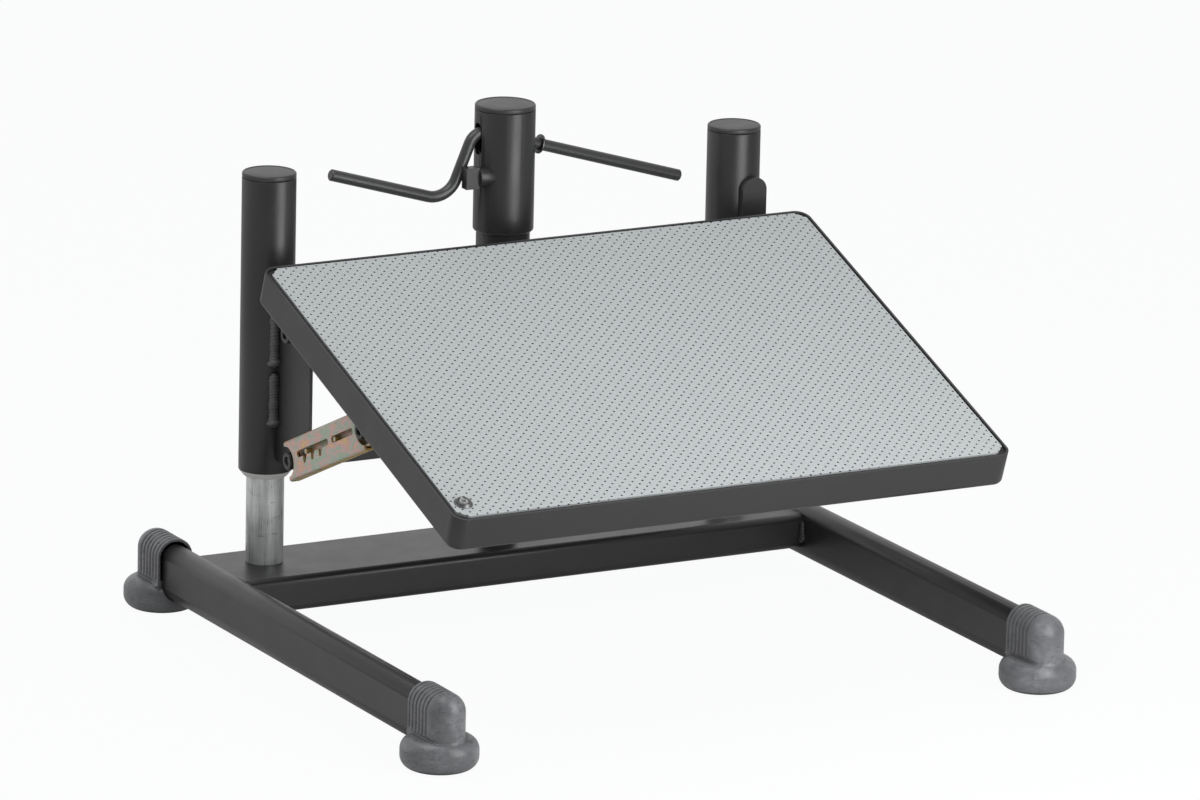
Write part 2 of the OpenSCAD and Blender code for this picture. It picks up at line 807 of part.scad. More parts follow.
// Square block in front of the crank, on a round boss that is coped to the sleeve
module lever_block() {
    block_y = column_y - lever_r - (slot_w - lever_d) / 2 + press_gap - block_t / 2;
    color(black)
    difference() {
        translate([-block_out, block_y, head_top - block_drop]) {
            translate([-block_w, -block_t / 2, -block_h / 2]) cube([block_w, block_t, block_h]);
            bar_x(boss_d, block_out);
        }
        translate([0, column_y, head_top - head_l]) cylinder(r = head_r + fit, h = head_l);
        translate([0, column_y - head_r, head_top - head_l]) cube([head_d, head_d, head_l]);
    }
}

// Side plate from the tube forward, with holes for the hinge axle and the strut axle
module side_plate(side) {
    low = strut_z - plate_margin;
    high = hinge_z + plate_margin;
    root = tube_r - tube_wall;
    length = plate_ahead - root;
    color(black)
    on_side(side)
    difference() {
        side_view(plate_in_x, column_y, 0, 0)
        linear_extrude(plate_t)
        difference() {
            translate([root, low]) {
                translate([length / 2, (high - low) / 2]) round_rect(length, high - low, plate_corner_r);
                square([length / 2, high - low]);
            }
            translate([hinge_ahead, hinge_z]) circle(d = axle_d + 2 * fit);
            translate([strut_ahead, strut_z]) circle(d = axle_d + 2 * fit);
        }
        translate([-column_x, column_y, tube_bottom]) cylinder(r = tube_r + fit, h = tube_l);
    }
}

// Stitch beads in the corner between each side plate's outer face and its tube
module plate_welds() {
    color(black)
    for (side = [-1, 1], row = [0, 1]) {
        on_side(side)
        difference() {
            translate([-plate_out_x - stitch_out, column_y - tube_r, strut_z + stitch_up + row * (stitch_l + stitch_gap)])
            cylinder(r = stitch_r, h = stitch_l);
            translate([-column_x, column_y, tube_bottom]) cylinder(r = tube_r, h = tube_l);
            translate([-plate_out_x, column_y - tube_d, tube_bottom]) cube([tube_d, tube_d, tube_l]);
        }
    }
}

module hinge_tube(side) {
    color(black)
    on_side(side)
    side_view(plate_out_x, hinge_y, hinge_z, 0)
    difference() {
        cylinder(r = pivot_tube_r, h = pivot_end_x - plate_out_x);
        translate([0, 0, -cut]) cylinder(d = axle_d + 2 * fit, h = pivot_end_x - plate_out_x + 2 * cut);
    }
}

// Headed axle: the head's outer side faces inwards at in_x, the end stops at end_x
module axle(d, in_x, end_x) {
    side_view(in_x, 0, 0, 0) {
        cylinder(d = axle_head_d, h = axle_head_t);
        cylinder(d = d, h = end_x - in_x);
    }
}

module hinge_axles() {
    color(bright_steel)
    for (side = [-1, 1]) {
        on_side(side)
        translate([0, hinge_y, hinge_z])
        axle(axle_d, rail_in_x - press_gap - axle_head_t, pivot_end_x - axle_recess);
    }
}

module strut_axles() {
    color(bright_steel)
    for (side = [-1, 1]) {
        on_side(side)
        translate([0, strut_y, strut_z])
        axle(axle_d, plate_in_x - axle_head_t, pivot_end_x - axle_recess);
    }
}

module slider_axles() {
    color(bright_steel)
    for (side = [-1, 1]) {
        on_side(side)
        translate([0, upper_y, upper_z])
        axle(slider_axle_d, rail_in_x - axle_head_t, pivot_end_x - axle_recess);
    }
}

module strut_tube(side) {
    color(black)
    on_side(side)
    side_view(channel_in_x, strut_y, strut_z, 0)
    difference() {
        cylinder(r = pivot_tube_r, h = pivot_end_x - channel_in_x);
        translate([0, 0, -cut]) cylinder(d = axle_d + 2 * axle_play, h = pivot_end_x - channel_in_x + 2 * cut);
    }
}

module slider_tube(side) {
    color(black)
    on_side(side)
    side_view(channel_in_x, upper_y, upper_z, 0)
    difference() {
        cylinder(r = pivot_tube_r, h = pivot_end_x - channel_in_x);
        translate([0, 0, -cut]) cylinder(d = slider_bore_d, h = pivot_end_x - channel_in_x + 2 * cut);
    }
}

// Folded channel: the inner leaf is coped to the strut tube, the outer leaf has the slots and arched ends
module strut_channel(side) {
    color(yellow_zinc)
    on_side(side)
    side_view(channel_in_x, strut_y, strut_z, strut_angle)
    difference() {
        translate([-channel_low_end, 0, channel_t / 2])
        rotate([90, 0, 90])
        linear_extrude(channel_l)
        difference() {
            round_rect(channel_h, channel_t, fold_r);
            round_rect(channel_h - 2 * sheet_t, channel_t - 2 * sheet_t, fold_r - sheet_t);
        }
        translate([0, 0, -cut]) cylinder(r = pivot_tube_r, h = cut + channel_t / 2);
        translate([strut_span, 0, -cut]) cylinder(r = cope_r, h = cut + channel_t / 2);
        translate([-arch_set, 0, channel_t / 2]) cylinder(r = arch_r, h = channel_t);
        translate([strut_span + arch_set, 0, channel_t / 2]) cylinder(r = arch_r, h = channel_t);
        translate([ratchet_start, slot_low, channel_t - sheet_t]) slot_cut(ratchet_l, ratchet_h, sheet_t);
        translate([guide_slot_start, slot_low, channel_t - sheet_t]) slot_cut(guide_slot_l, ratchet_h, sheet_t);
        for (i = [0:tooth_count - 1]) {
            translate([ratchet_stud + i * tooth_pitch, slot_low, channel_t - sheet_t - cut])
            linear_extrude(sheet_t + 2 * cut)
            polygon([
                [-tooth_w / 2, ratchet_h / 2], [tooth_w / 2, ratchet_h / 2],
                [tooth_tip_w / 2 - tooth_lean, -tooth_d], [-tooth_tip_w / 2 - tooth_lean, -tooth_d]
            ]);
        }
    }
}

// Smaller channel inside the first, open outwards, bored for the slider tube, with two studs in the slots
module strut_slider(side) {
    half_h = channel_h / 2 - sheet_t - slider_gap;
    web_z = sheet_t + slider_side;
    flange_h = channel_t - 2 * web_z;
    stud_l = channel_t - sheet_t / 2 - web_z;
    color(yellow_zinc)
    on_side(side)
    side_view(channel_in_x, strut_y, strut_z, strut_angle)
    translate([0, 0, web_z])
    difference() {
        union() {
            translate([strut_span - slider_l, -half_h, 0]) cube([slider_l + slider_end, 2 * half_h, sheet_t]);
            for (low = [-half_h, half_h - sheet_t]) {
                translate([strut_span - slider_l, low, 0]) cube([slider_l + slider_end, sheet_t, flange_h]);
            }
            translate([ratchet_stud, stud_rise, 0]) cylinder(d = stud_d, h = stud_l);
            translate([guide_stud, stud_rise, 0]) cylinder(d = stud_d, h = stud_l);
        }
        translate([strut_span, 0, -cut]) cylinder(r = pivot_tube_r + fit, h = channel_t + cut);
    }
}

// Short flat bar with a round top, coped to the right tube's front
module front_bar() {
    bar_top = tube_top - bar_drop;
    bar_bottom = hinge_z + plate_margin + bar_gap;
    color(black)
    difference() {
        translate([column_x + bar_shift, column_y - tube_r + tube_wall, bar_top - bar_w / 2])
        rotate([90, 0, 0])
        linear_extrude(bar_t + tube_wall) {
            circle(d = bar_w);
            translate([-bar_w / 2, bar_bottom - bar_top + bar_w / 2]) square([bar_w, bar_top - bar_w / 2 - bar_bottom]);
        }
        translate([column_x, column_y, tube_bottom]) cylinder(r = tube_r + fit, h = tube_l);
    }
}

// Block with round corners and a rounded lower edge, standing on z = 0
module dish(w, l, h, corner_r, edge_r) {
    translate([0, 0, edge_r]) linear_extrude(h - edge_r) round_rect(w, l, corner_r);
    linear_extrude(edge_r) round_rect(w - 2 * edge_r, l - 2 * edge_r, corner_r - edge_r);
    for (sx = [-1, 1]) {
        translate([sx * (w / 2 - edge_r), l / 2 - corner_r, edge_r])
        rotate([90, 0, 0])
        cylinder(r = edge_r, h = l - 2 * corner_r);
    }
    for (sy = [-1, 1]) {
        translate([corner_r - w / 2, sy * (l / 2 - edge_r), edge_r]) bar_x(2 * edge_r, w - 2 * corner_r);
    }
    for (sx = [-1, 1], sy = [-1, 1]) {
        translate([sx * (w / 2 - corner_r), sy * (l / 2 - corner_r), edge_r])
        rotate_extrude()
        translate([corner_r - edge_r, 0]) circle(r = edge_r);
    }
}

// Bores for the rail screws, from below the tray up to height top
module rail_screw_bores(top) {
    for (sx = [-1, 1], y = [hinge_set, strut_set]) {
        translate([sx * rail_screw_x, -y, -tray_h - rail_t - cut])
        cylinder(d = screw_d + 2 * fit, h = top + tray_h + rail_t + cut);
    }
}

module tray_pan() {
    color(black)
    tray_frame()
    difference() {
        translate([0, -tray_l / 2, -tray_h]) dish(tray_w, tray_l, tray_h, tray_corner_r, tray_edge_r);
        translate([0, -tray_l / 2, tray_floor - tray_h])
        linear_extrude(tray_h)
        round_rect(tray_w - 2 * tray_wall, tray_l - 2 * tray_wall, tray_corner_r - tray_wall);
        rail_screw_bores(mat_bottom);
    }
}

module tray_board() {
    inset = tray_wall + board_gap;
    color(board_black)
    tray_frame()
    difference() {
        translate([0, -tray_l / 2, tray_floor - tray_h])
        linear_extrude(mat_bottom + tray_h - tray_floor)
        round_rect(tray_w - 2 * inset, tray_l - 2 * inset, tray_corner_r - inset);
        rail_screw_bores(screw_l + tray_floor - tray_h);
        translate([screw_x, screw_y, mat_bottom - screw_l]) cylinder(d = screw_d + 2 * fit, h = screw_l + cut);
    }
}

module tray_mat() {
    left = tray_wall + mat_gap_left - tray_w / 2;
    right = tray_w / 2 - tray_wall - mat_gap_right;
    front = tray_wall + mat_gap_front - tray_l;
    rear = -tray_wall - mat_gap_rear;
    color(pale_mat)
    tray_frame()
    difference() {
        translate([0, 0, mat_bottom])
        linear_extrude(mat_t)
        polygon([
            [left + mat_cut, front], [right - mat_cut, front],
            [right, front + mat_cut], [right, rear - mat_cut],
            [right - mat_cut, rear], [left + mat_cut, rear],
            [left, rear - mat_cut], [left, front + mat_cut]
        ]);
        translate([screw_x, screw_y, mat_bottom - cut]) cylinder(d = screw_d + 2 * fit, h = mat_t + 2 * cut);
    }
}

// Pressed cup washer whose inner cone seats the corner screw's head
module cup_washer() {
    hole_r = screw_d / 2 + fit;
    seat_r = head_screw_d / 2 + fit;
    color(bright_steel)
    tray_frame()
    translate([screw_x, screw_y, mat_top])
    rotate_extrude()
    polygon([
        [hole_r, 0], [washer_d / 2, 0], [seat_r + (washer_d / 2 - seat_r) / 3, washer_h],
        [seat_r, washer_h], [hole_r, washer_h - seat_r + hole_r]
    ]);
}

// Countersunk screw with a domed head and a cross recess
module mat_screw() {
    shank_r = screw_d / 2;
    top_r = head_screw_d / 2;
    cone_h = top_r - shank_r;
    recess_w = screw_d / 4;
    color(bright_steel)
    tray_frame()
    translate([screw_x, screw_y, mat_top + washer_h])
    difference() {
        rotate_extrude()
        polygon([
            [0, mat_bottom - mat_top - washer_h - screw_l + cut], [shank_r, mat_bottom - mat_top - washer_h - screw_l + cut],
            [shank_r, -cone_h], [top_r, 0], [top_r * cos(45), recess_w], [0, 2 * recess_w]
        ]);
        for (turn = [0, 90]) {
            rotate(turn) translate([-shank_r, -recess_w / 2, -recess_w]) cube([screw_d, recess_w, 4 * recess_w]);
        }
    }
}

// Angle rail: a web with round eyes at both pivots and a flange under the tray
module tray_rail(side) {
    color(black)
    tray_frame()
    on_side(side)
    difference() {
        union() {
            side_view(rail_in_x, 0, 0, 0) linear_extrude(rail_t) difference() {
                union() {
                    translate([hinge_set - rail_end_r, -pivot_drop])
                    square([strut_set - hinge_set + 2 * rail_end_r, pivot_drop - tray_h]);
                    translate([hinge_set, -pivot_drop - rail_end_r])
                    square([strut_set - hinge_set, rail_end_r]);
                    translate([hinge_set, -pivot_drop]) circle(r = rail_end_r);
                    translate([strut_set, -pivot_drop]) circle(r = rail_end_r);
                }
                translate([hinge_set, -pivot_drop]) circle(d = axle_d + 2 * axle_play);
                translate([strut_set, -pivot_drop]) circle(d = slider_axle_d + 2 * fit);
            }
            translate([-rail_out_x, -strut_set - rail_end_r, -tray_h - rail_t])
            cube([rail_t + rail_flange, strut_set - hinge_set + 2 * rail_end_r, rail_t]);
        }
        rail_screw_bores(mat_bottom);
    }
}

module rail_screws() {
    color(bright_steel)
    tray_frame()
    for (sx = [-1, 1], y = [hinge_set, strut_set]) {
        translate([sx * rail_screw_x, -y, -tray_h - rail_t]) {
            cylinder(d = screw_d, h = rail_t + tray_floor + screw_l - cut);
            translate([0, 0, -screw_head_h]) cylinder(d1 = screw_d, d2 = 2 * screw_d, h = screw_head_h);
        }
    }
}

leg(-1);  // leg_left
leg(1);  // leg_right
cross_beam();
beam_welds();
foot(-1, true);  // foot_front_left
foot(1, true);  // foot_front_right
foot(-1, false);  // foot_rear_left
foot(1, false);  // foot_rear_right
post(-1);  // post_left
post(1);  // post_right
post_guide(-1);  // post_guide_left
post_guide(1);  // post_guide_right
spring_socket();
gas_cylinder();
piston_rod();
rod_bridge();
rod_nut();
release_pin();
side_tube(-1);  // tube_left
side_tube(1);  // tube_right
tube_centre();
bushing(-1);  // bushing_left
bushing(1);  // bushing_right
side_cap(-1);  // cap_left
side_cap(1);  // cap_right
crossbar(-1);  // crossbar_left
crossbar(1);  // crossbar_right
head_sleeve();
head_cap();
lever_rod();
lever_ring();
lever_block();
side_plate(-1);  // side_plate_left
side_plate(1);  // side_plate_right
plate_welds();
front_bar();
hinge_tube(-1);  // hinge_tube_left
hinge_tube(1);  // hinge_tube_right
hinge_axles();
strut_axles();
slider_axles();
strut_tube(-1);  // strut_tube_left
strut_tube(1);  // strut_tube_right
strut_channel(-1);  // strut_channel_left
strut_channel(1);  // strut_channel_right
strut_slider(-1);  // strut_slider_left
strut_slider(1);  // strut_slider_right
slider_tube(-1);  // slider_tube_left
slider_tube(1);  // slider_tube_right
tray_pan();
tray_board();
tray_mat();
cup_washer();
mat_screw();
tray_rail(-1);  // tray_rail_left
tray_rail(1);  // tray_rail_right
rail_screws();
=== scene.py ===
# %% [markdown]
# # A tilting under desk footrest
# The real thing is a heavy steel frame. Two galvanised posts stand on a cross beam between
# two legs. Black tubes slide on the posts, and a matted tray hinges on them. The packed
# model gives every part its place, so each step below only adds what the eye sees: soft
# edges, welds, moulded rubber, a dimpled mat and the finishes.

# %% Load the frame
import json
import math

import bmesh
import bpy
from mathutils import Matrix, Vector
from mathutils.geometry import delaunay_2d_cdt


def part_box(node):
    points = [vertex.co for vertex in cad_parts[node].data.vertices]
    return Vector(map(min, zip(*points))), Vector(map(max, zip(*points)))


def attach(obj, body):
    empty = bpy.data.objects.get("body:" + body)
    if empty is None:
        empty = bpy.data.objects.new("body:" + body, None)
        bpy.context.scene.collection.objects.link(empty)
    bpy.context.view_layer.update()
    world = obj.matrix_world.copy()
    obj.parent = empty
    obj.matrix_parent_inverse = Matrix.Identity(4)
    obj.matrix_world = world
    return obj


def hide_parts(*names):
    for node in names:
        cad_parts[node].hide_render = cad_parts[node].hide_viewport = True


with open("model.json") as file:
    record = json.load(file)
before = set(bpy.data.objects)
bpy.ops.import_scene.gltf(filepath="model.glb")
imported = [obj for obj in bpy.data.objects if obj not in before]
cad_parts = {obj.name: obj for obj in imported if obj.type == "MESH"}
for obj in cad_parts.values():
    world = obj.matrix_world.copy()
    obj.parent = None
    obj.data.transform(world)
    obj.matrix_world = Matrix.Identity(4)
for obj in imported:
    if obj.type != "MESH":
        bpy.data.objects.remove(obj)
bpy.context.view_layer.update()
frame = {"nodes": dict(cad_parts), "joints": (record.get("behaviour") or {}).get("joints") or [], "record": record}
MM = 0.001
SIDES = {"left": -1, "right": 1}

# %% [markdown]
# A few places are needed again and again: the line of the columns, the way the struts slide
# and the slope of the tray. They are read from the frame's joints and boxes, so nothing here
# has to be fitted by eye.

# %% Places read from the frame
joints = {joint["name"]: joint for joint in frame["joints"]}


def middle(node):
    """Middle of a node's box."""
    low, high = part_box(node)
    return (Vector(low) + Vector(high)) / 2


column_y = middle("tube_left").y
strut_way = Vector(joints["strut_extend_left"]["axis"])
slope = math.radians(joints["tray_tilt"]["range_deg"][1])
MAT_THICKNESS = 2 * MM
tray_up = Vector((0, -math.sin(slope), math.cos(slope)))
tray_back = Vector((0, math.cos(slope), math.sin(slope)))
tray_middle = middle("tray_mat") + tray_up * MAT_THICKNESS / 2
print("columns at y", round(column_y, 4), "m, tray slope", round(math.degrees(slope), 1), "degrees")

# %% [markdown]
# ## The camera
# The photograph was taken from the left front with a very long lens, so parallel edges
# hardly converge. The camera was solved from the edges of the columns, the legs and the
# tray. It is written as an aim point, two angles, a small roll and a distance.

# %% Camera
PHOTO_WIDTH_PX = 1200
FOCAL_PX = 10068
SENSOR_MM = 36
AIM = Vector((0.106, column_y, 0.1748))
AZIMUTH = math.radians(-28.43)
ELEVATION = math.radians(14.78)
ROLL = math.radians(1.26)
DISTANCE = 9.405
FAR_CLIP = 100


def place_camera():
    """A camera that looks at the aim point from the photograph's angle."""
    backward = Vector((
        math.sin(AZIMUTH) * math.cos(ELEVATION),
        -math.cos(AZIMUTH) * math.cos(ELEVATION),
        math.sin(ELEVATION),
    ))
    level = Vector((math.cos(AZIMUTH), math.sin(AZIMUTH), 0))
    upward = backward.cross(level)
    axis_x = level * math.cos(ROLL) + upward * math.sin(ROLL)
    axis_y = upward * math.cos(ROLL) - level * math.sin(ROLL)
    data = bpy.data.cameras.new("camera")
    data.sensor_width = SENSOR_MM
    data.lens = FOCAL_PX / PHOTO_WIDTH_PX * SENSOR_MM
    data.clip_end = FAR_CLIP
    camera = bpy.data.objects.new("camera", data)
    bpy.context.collection.objects.link(camera)
    turn = Matrix((axis_x, axis_y, backward)).transposed().to_4x4()
    camera.matrix_world = Matrix.Translation(AIM + backward * DISTANCE) @ turn
    bpy.context.scene.camera = camera
    place = [round(v, 3) for v in camera.matrix_world.translation]
    print("camera lens", round(data.lens, 1), "mm at", place)


place_camera()

# %% [markdown]
# ## Building materials in code
# Every finish here is a small node tree. The helpers keep each one short: `Finish` starts a
# material, `grain`, `ramp`, `mix` and `bump` add one node each, and `done` hands the material
# over. Textures read the object's own coordinates in metres, so a scale of 1000 gives features
# of about a millimetre, and the pattern moves with the part when it tilts or slides.

# %% Material helpers


class Finish:
    """A node material with a principled shader and object coordinates."""

    def __init__(self, name):
        self.material = bpy.data.materials.new(name)
        self.material.use_nodes = True
        self.tree = self.material.node_tree
        self.shader = self.tree.nodes["Principled BSDF"]
        self.coordinates = self.tree.nodes.new("ShaderNodeTexCoord").outputs["Object"]

    def set(self, **values):
        """Constants on the shader's own sockets."""
        for name, value in values.items():
            self.shader.inputs[name.replace("_", " ")].default_value = value

    def feed(self, socket, source):
        """A node's output into one of the shader's sockets."""
        self.tree.links.new(source, self.shader.inputs[socket])

    def stretch(self, scale, turn=(0, 0, 0), source=None):
        """Object coordinates, or another vector, scaled and then turned."""
        node = self.tree.nodes.new("ShaderNodeMapping")
        node.inputs["Scale"].default_value = scale
        node.inputs["Rotation"].default_value = turn
        self.tree.links.new(source or self.coordinates, node.inputs["Vector"])
        return node.outputs["Vector"]

    def grain(self, scale, detail=2.0, rough=0.5, vector=None, warp=0.0):
        """Noise between 0 and 1."""
        node = self.tree.nodes.new("ShaderNodeTexNoise")
        node.inputs["Scale"].default_value = scale
        node.inputs["Detail"].default_value = detail
        node.inputs["Roughness"].default_value = rough
        node.inputs["Distortion"].default_value = warp
        self.tree.links.new(vector or self.coordinates, node.inputs["Vector"])
        return node.outputs["Fac"]

    def ramp(self, source, stops):
        """Colour stops, each a place and a grey or a colour."""
        node = self.tree.nodes.new("ShaderNodeValToRGB")
        elements = node.color_ramp.elements
        while len(elements) < len(stops):
            elements.new(0.5)
        for element, (place, tone) in zip(elements, stops):
            element.position = place
            colour = (tone, tone, tone) if isinstance(tone, float) else tone
            element.color = (*colour, 1)
        self.tree.links.new(source, node.inputs["Fac"])
        return node.outputs["Color"]

    def mix(self, factor, first, second, blend="MIX"):
        """Blend of two colours, each a socket or a colour."""
        node = self.tree.nodes.new("ShaderNodeMix")
        node.data_type = "RGBA"
        node.blend_type = blend
        for name, value in (("Factor", factor), ("A", first), ("B", second)):
            socket = [s for s in node.inputs if s.name == name and s.enabled][0]
            if isinstance(value, bpy.types.NodeSocket):
                self.tree.links.new(value, socket)
            else:
                socket.default_value = value if name == "Factor" else (*value, 1)
        return [s for s in node.outputs if s.enabled][0]

    def math(self, operation, first, second=0.0):
        """A sum on one or two numbers, each a socket or a constant."""
        node = self.tree.nodes.new("ShaderNodeMath")
        node.operation = operation
        for socket, value in zip(node.inputs, (first, second)):
            if isinstance(value, bpy.types.NodeSocket):
                self.tree.links.new(value, socket)
            else:
                socket.default_value = value
        return node.outputs["Value"]

    def bump(self, height, depth_mm):
        """Bump from a height between 0 and 1, on top of any bump before it."""
        node = self.tree.nodes.new("ShaderNodeBump")
        node.inputs["Strength"].default_value = 1
        node.inputs["Distance"].default_value = depth_mm * MM
        self.tree.links.new(height, node.inputs["Height"])
        previous = self.shader.inputs["Normal"].links
        if previous:
            self.tree.links.new(previous[0].from_socket, node.inputs["Normal"])
        self.tree.links.new(node.outputs["Normal"], self.shader.inputs["Normal"])

    def done(self):
        """The material, with a word on how many nodes it took."""
        print("finish", self.material.name, "has", len(self.tree.nodes), "nodes")
        return self.material


# %% [markdown]
# ## Black powder coat
# Powder is sprayed on and baked. It comes out as a low-sheen black with a fine pebbled skin,
# a little uneven in tone where it is thicker. A plain black would look like plastic film, so
# the skin is a bump at about a millimetre and the sheen wanders slowly. The same recipe, with
# another tone, sheen and depth of skin, gives the coat over a rough weld, painted paler as the
# light its scales catch, the smoother lever that hands polish, the moulded caps and the painted
# cylinder.

# %% Powder coat
THICK_COAT = 0.88
THIN_COAT = 1.14


def powder_coat(name, tone, rough, skin):
    finish = Finish(name)
    dark = tuple(v * THICK_COAT for v in tone)
    light = tuple(v * THIN_COAT for v in tone)
    base = finish.mix(finish.grain(14, 3), dark, light)
    dust = finish.math("MULTIPLY", finish.grain(900, 2), 0.3)
    finish.feed("Base Color", finish.mix(dust, base, light))
    sheen = finish.ramp(finish.grain(30, 4), [(0.3, rough - 0.03), (0.7, rough + 0.04)])
    finish.feed("Roughness", sheen)
    finish.set(Specular_IOR_Level=0.55)
    finish.bump(finish.grain(1300, 2, 0.6), 0.09 * skin)
    finish.bump(finish.grain(600, 2, 0.5), 0.03 * skin)
    return finish.done()


black = powder_coat("black_powder_coat", (0.021, 0.0212, 0.0219), 0.34, 1.0)
# The coat over the welds is painted paler than the black, as painted light on the bead's scales.
weld_black_painted_light = powder_coat("black_over_weld_painted_light", (0.095, 0.093, 0.092), 0.46, 2.5)
rod_black = powder_coat("black_on_rod", (0.04, 0.0405, 0.042), 0.3, 0.4)
black_plastic = powder_coat("black_cap_plastic", (0.03, 0.03, 0.032), 0.4, 0.7)
cylinder_paint = powder_coat("cylinder_paint", (0.015, 0.015, 0.016), 0.25, 0.3)

# %% [markdown]
# ## Galvanised post
# The posts are drawn tube, dipped in zinc. Drawing leaves fine lines along the length, zinc
# leaves soft cloudy patches, and broad paler and darker bands down the tube are painted
# highlight and painted reflection. The bushing rubs dark scuffs and rings. Lines and bands are
# noises pulled out along the post. The scuffs are a noise squeezed along it, cut off so that
# only its peaks show.

# %% Galvanised steel
ZINC_TONES = [
    (0.34, (0.3, 0.31, 0.31)),
    (0.45, (0.66, 0.675, 0.675)),
    (0.54, (0.88, 0.895, 0.895)),
    (0.64, (0.98, 0.985, 0.985)),
]
SCUFF_DARK = (0.09, 0.09, 0.085)
REFLECTION_BAND_TURN = (0, 0, 2.2)


def galvanised():
    finish = Finish("galvanised_steel")
    lines = finish.grain(900, 3, 0.65, finish.stretch((1, 1, 0.02)))
    streaks = finish.grain(160, 3, 0.6, finish.stretch((1, 1, 0.1)))
    clouds = finish.grain(45, 4, 0.6, warp=0.5)
    tone = finish.ramp(finish.mix(0.3, finish.mix(0.6, lines, streaks), clouds), ZINC_TONES)
    # Broad bands down the post: painted highlight and painted reflection.
    reflection_noise = finish.grain(75, 1, 0.5, finish.stretch((1, 1, 0.03), REFLECTION_BAND_TURN))
    painted_reflection_bands = finish.ramp(reflection_noise, [(0.38, 0.72), (0.56, 1.0)])
    tone = finish.mix(0.7, tone, painted_reflection_bands, "MULTIPLY")
    rub = finish.grain(26, 6, 0.72, finish.stretch((1.2, 1.2, 9)), 0.8)
    scuff = finish.ramp(rub, [(0.62, 0.0), (0.7, 0.85)])
    finish.feed("Base Color", finish.mix(scuff, tone, SCUFF_DARK))
    sheen = finish.ramp(finish.mix(0.5, clouds, lines), [(0.35, 0.24), (0.65, 0.4)])
    finish.feed("Roughness", sheen)
    finish.set(Metallic=0.35)
    finish.bump(lines, 0.02)
    finish.bump(rub, 0.04)
    return finish.done()


post_steel = galvanised()

# %% [markdown]
# ## Bright steel
# Screws, washers and axles are turned or pressed from bright steel. The tool leaves fine marks,
# which show in the sheen more than in the tone, so one stretched noise drives both the
# roughness and a very low bump. A duller version serves for the washer and the lever's ring.

# %% Bright steel


def turned_steel(name, low, high, rough):
    finish = Finish(name)
    turned = finish.grain(900, 2, 0.5, finish.stretch((0.2, 1, 1)))
    finish.feed("Base Color", finish.ramp(finish.grain(160, 4), [(0.3, low), (0.7, high)]))
    finish.feed("Roughness", finish.ramp(turned, [(0.3, rough), (0.7, rough + 0.16)]))
    finish.set(Metallic=1.0)
    finish.bump(turned, 0.02)
    return finish.done()


steel = turned_steel("bright_steel", 0.34, 0.6, 0.24)
dull_steel = turned_steel("dull_steel", 0.1, 0.2, 0.3)

# %% [markdown]
# ## Yellow zinc struts
# The struts are zinc plated and passivated yellow, which gives patches of green, pink and gold
# that change every few millimetres. One noise picks the tint and a finer one lays a veil of
# green and pink over it. Both are laid along the strut, the way the sheet was rolled. Faces
# that don't look sideways are cut edges and folds, and those keep a deeper gold. The slider
# inside the channel has a share of that gold on its flat sides too.

# %% Yellow zinc
STRUT_RISE = math.atan2(strut_way.z, -strut_way.y)
ZINC_TINTS = [
    (0.38, (0.34, 0.5, 0.37)),
    (0.465, (0.43, 0.53, 0.4)),
    (0.5, (0.7, 0.43, 0.42)),
    (0.54, (0.64, 0.46, 0.45)),
    (0.58, (0.84, 0.36, 0.28)),
    (0.65, (0.86, 0.52, 0.14)),
]
VEIL_TINTS = [(0.4, (0.38, 0.5, 0.38)), (0.6, (0.76, 0.52, 0.52))]
EDGE_GOLD = (0.5, 0.35, 0.06)


def yellow_zinc(name, side_gold):
    finish = Finish(name)
    level = finish.stretch((1, 1, 1), (STRUT_RISE, 0, 0))
    along = finish.stretch((1, 0.5, 1.3), source=level)
    patches = finish.ramp(finish.grain(115, 4, 0.64, along, 0.5), ZINC_TINTS)
    veil = finish.ramp(finish.grain(300, 4, 0.6, along), VEIL_TINTS)
    tone = finish.mix(0.35, patches, veil)
    split = finish.tree.nodes.new("ShaderNodeSeparateXYZ")
    facing = finish.tree.nodes.new("ShaderNodeTexCoord").outputs["Normal"]
    finish.tree.links.new(facing, split.inputs["Vector"])
    sideways = finish.math("ABSOLUTE", split.outputs["X"])
    gold = finish.math("MULTIPLY", finish.ramp(sideways, [(0.3, 1.0), (0.8, side_gold)]), 0.8)
    finish.feed("Base Color", finish.mix(gold, tone, EDGE_GOLD))
    finish.feed("Roughness", finish.ramp(finish.grain(240, 3), [(0.3, 0.32), (0.7, 0.46)]))
    finish.set(Metallic=0.2)
    finish.bump(finish.grain(900, 2), 0.03)
    return finish.done()


zinc = yellow_zinc("yellow_zinc", 0.0)
zinc_deep = yellow_zinc("yellow_zinc_inside", 0.2)

# %% [markdown]
# ## Foot rubber
# The feet are hard grey rubber that blooms, so it is mottled in soft pale clouds and shines a
# little where it is touched. The grooves get painted shade: an ambient occlusion node tells how
# much of the open a point sees within a few millimetres, and the hidden points are painted dark.

# %% Foot rubber
RUBBER_TONES = [
    (0.34, (0.114, 0.116, 0.123)),
    (0.5, (0.14, 0.143, 0.152)),
    (0.61, (0.19, 0.194, 0.204)),
    (0.7, (0.26, 0.264, 0.274)),
]
SPECK_PALE = (0.24, 0.24, 0.25)
# Colour of the painted shade in the grooves.
GROOVE_PAINTED_SHADE = (0.02, 0.02, 0.021)
GROOVE_REACH = 4 * MM
GROOVE_SAMPLES = 6


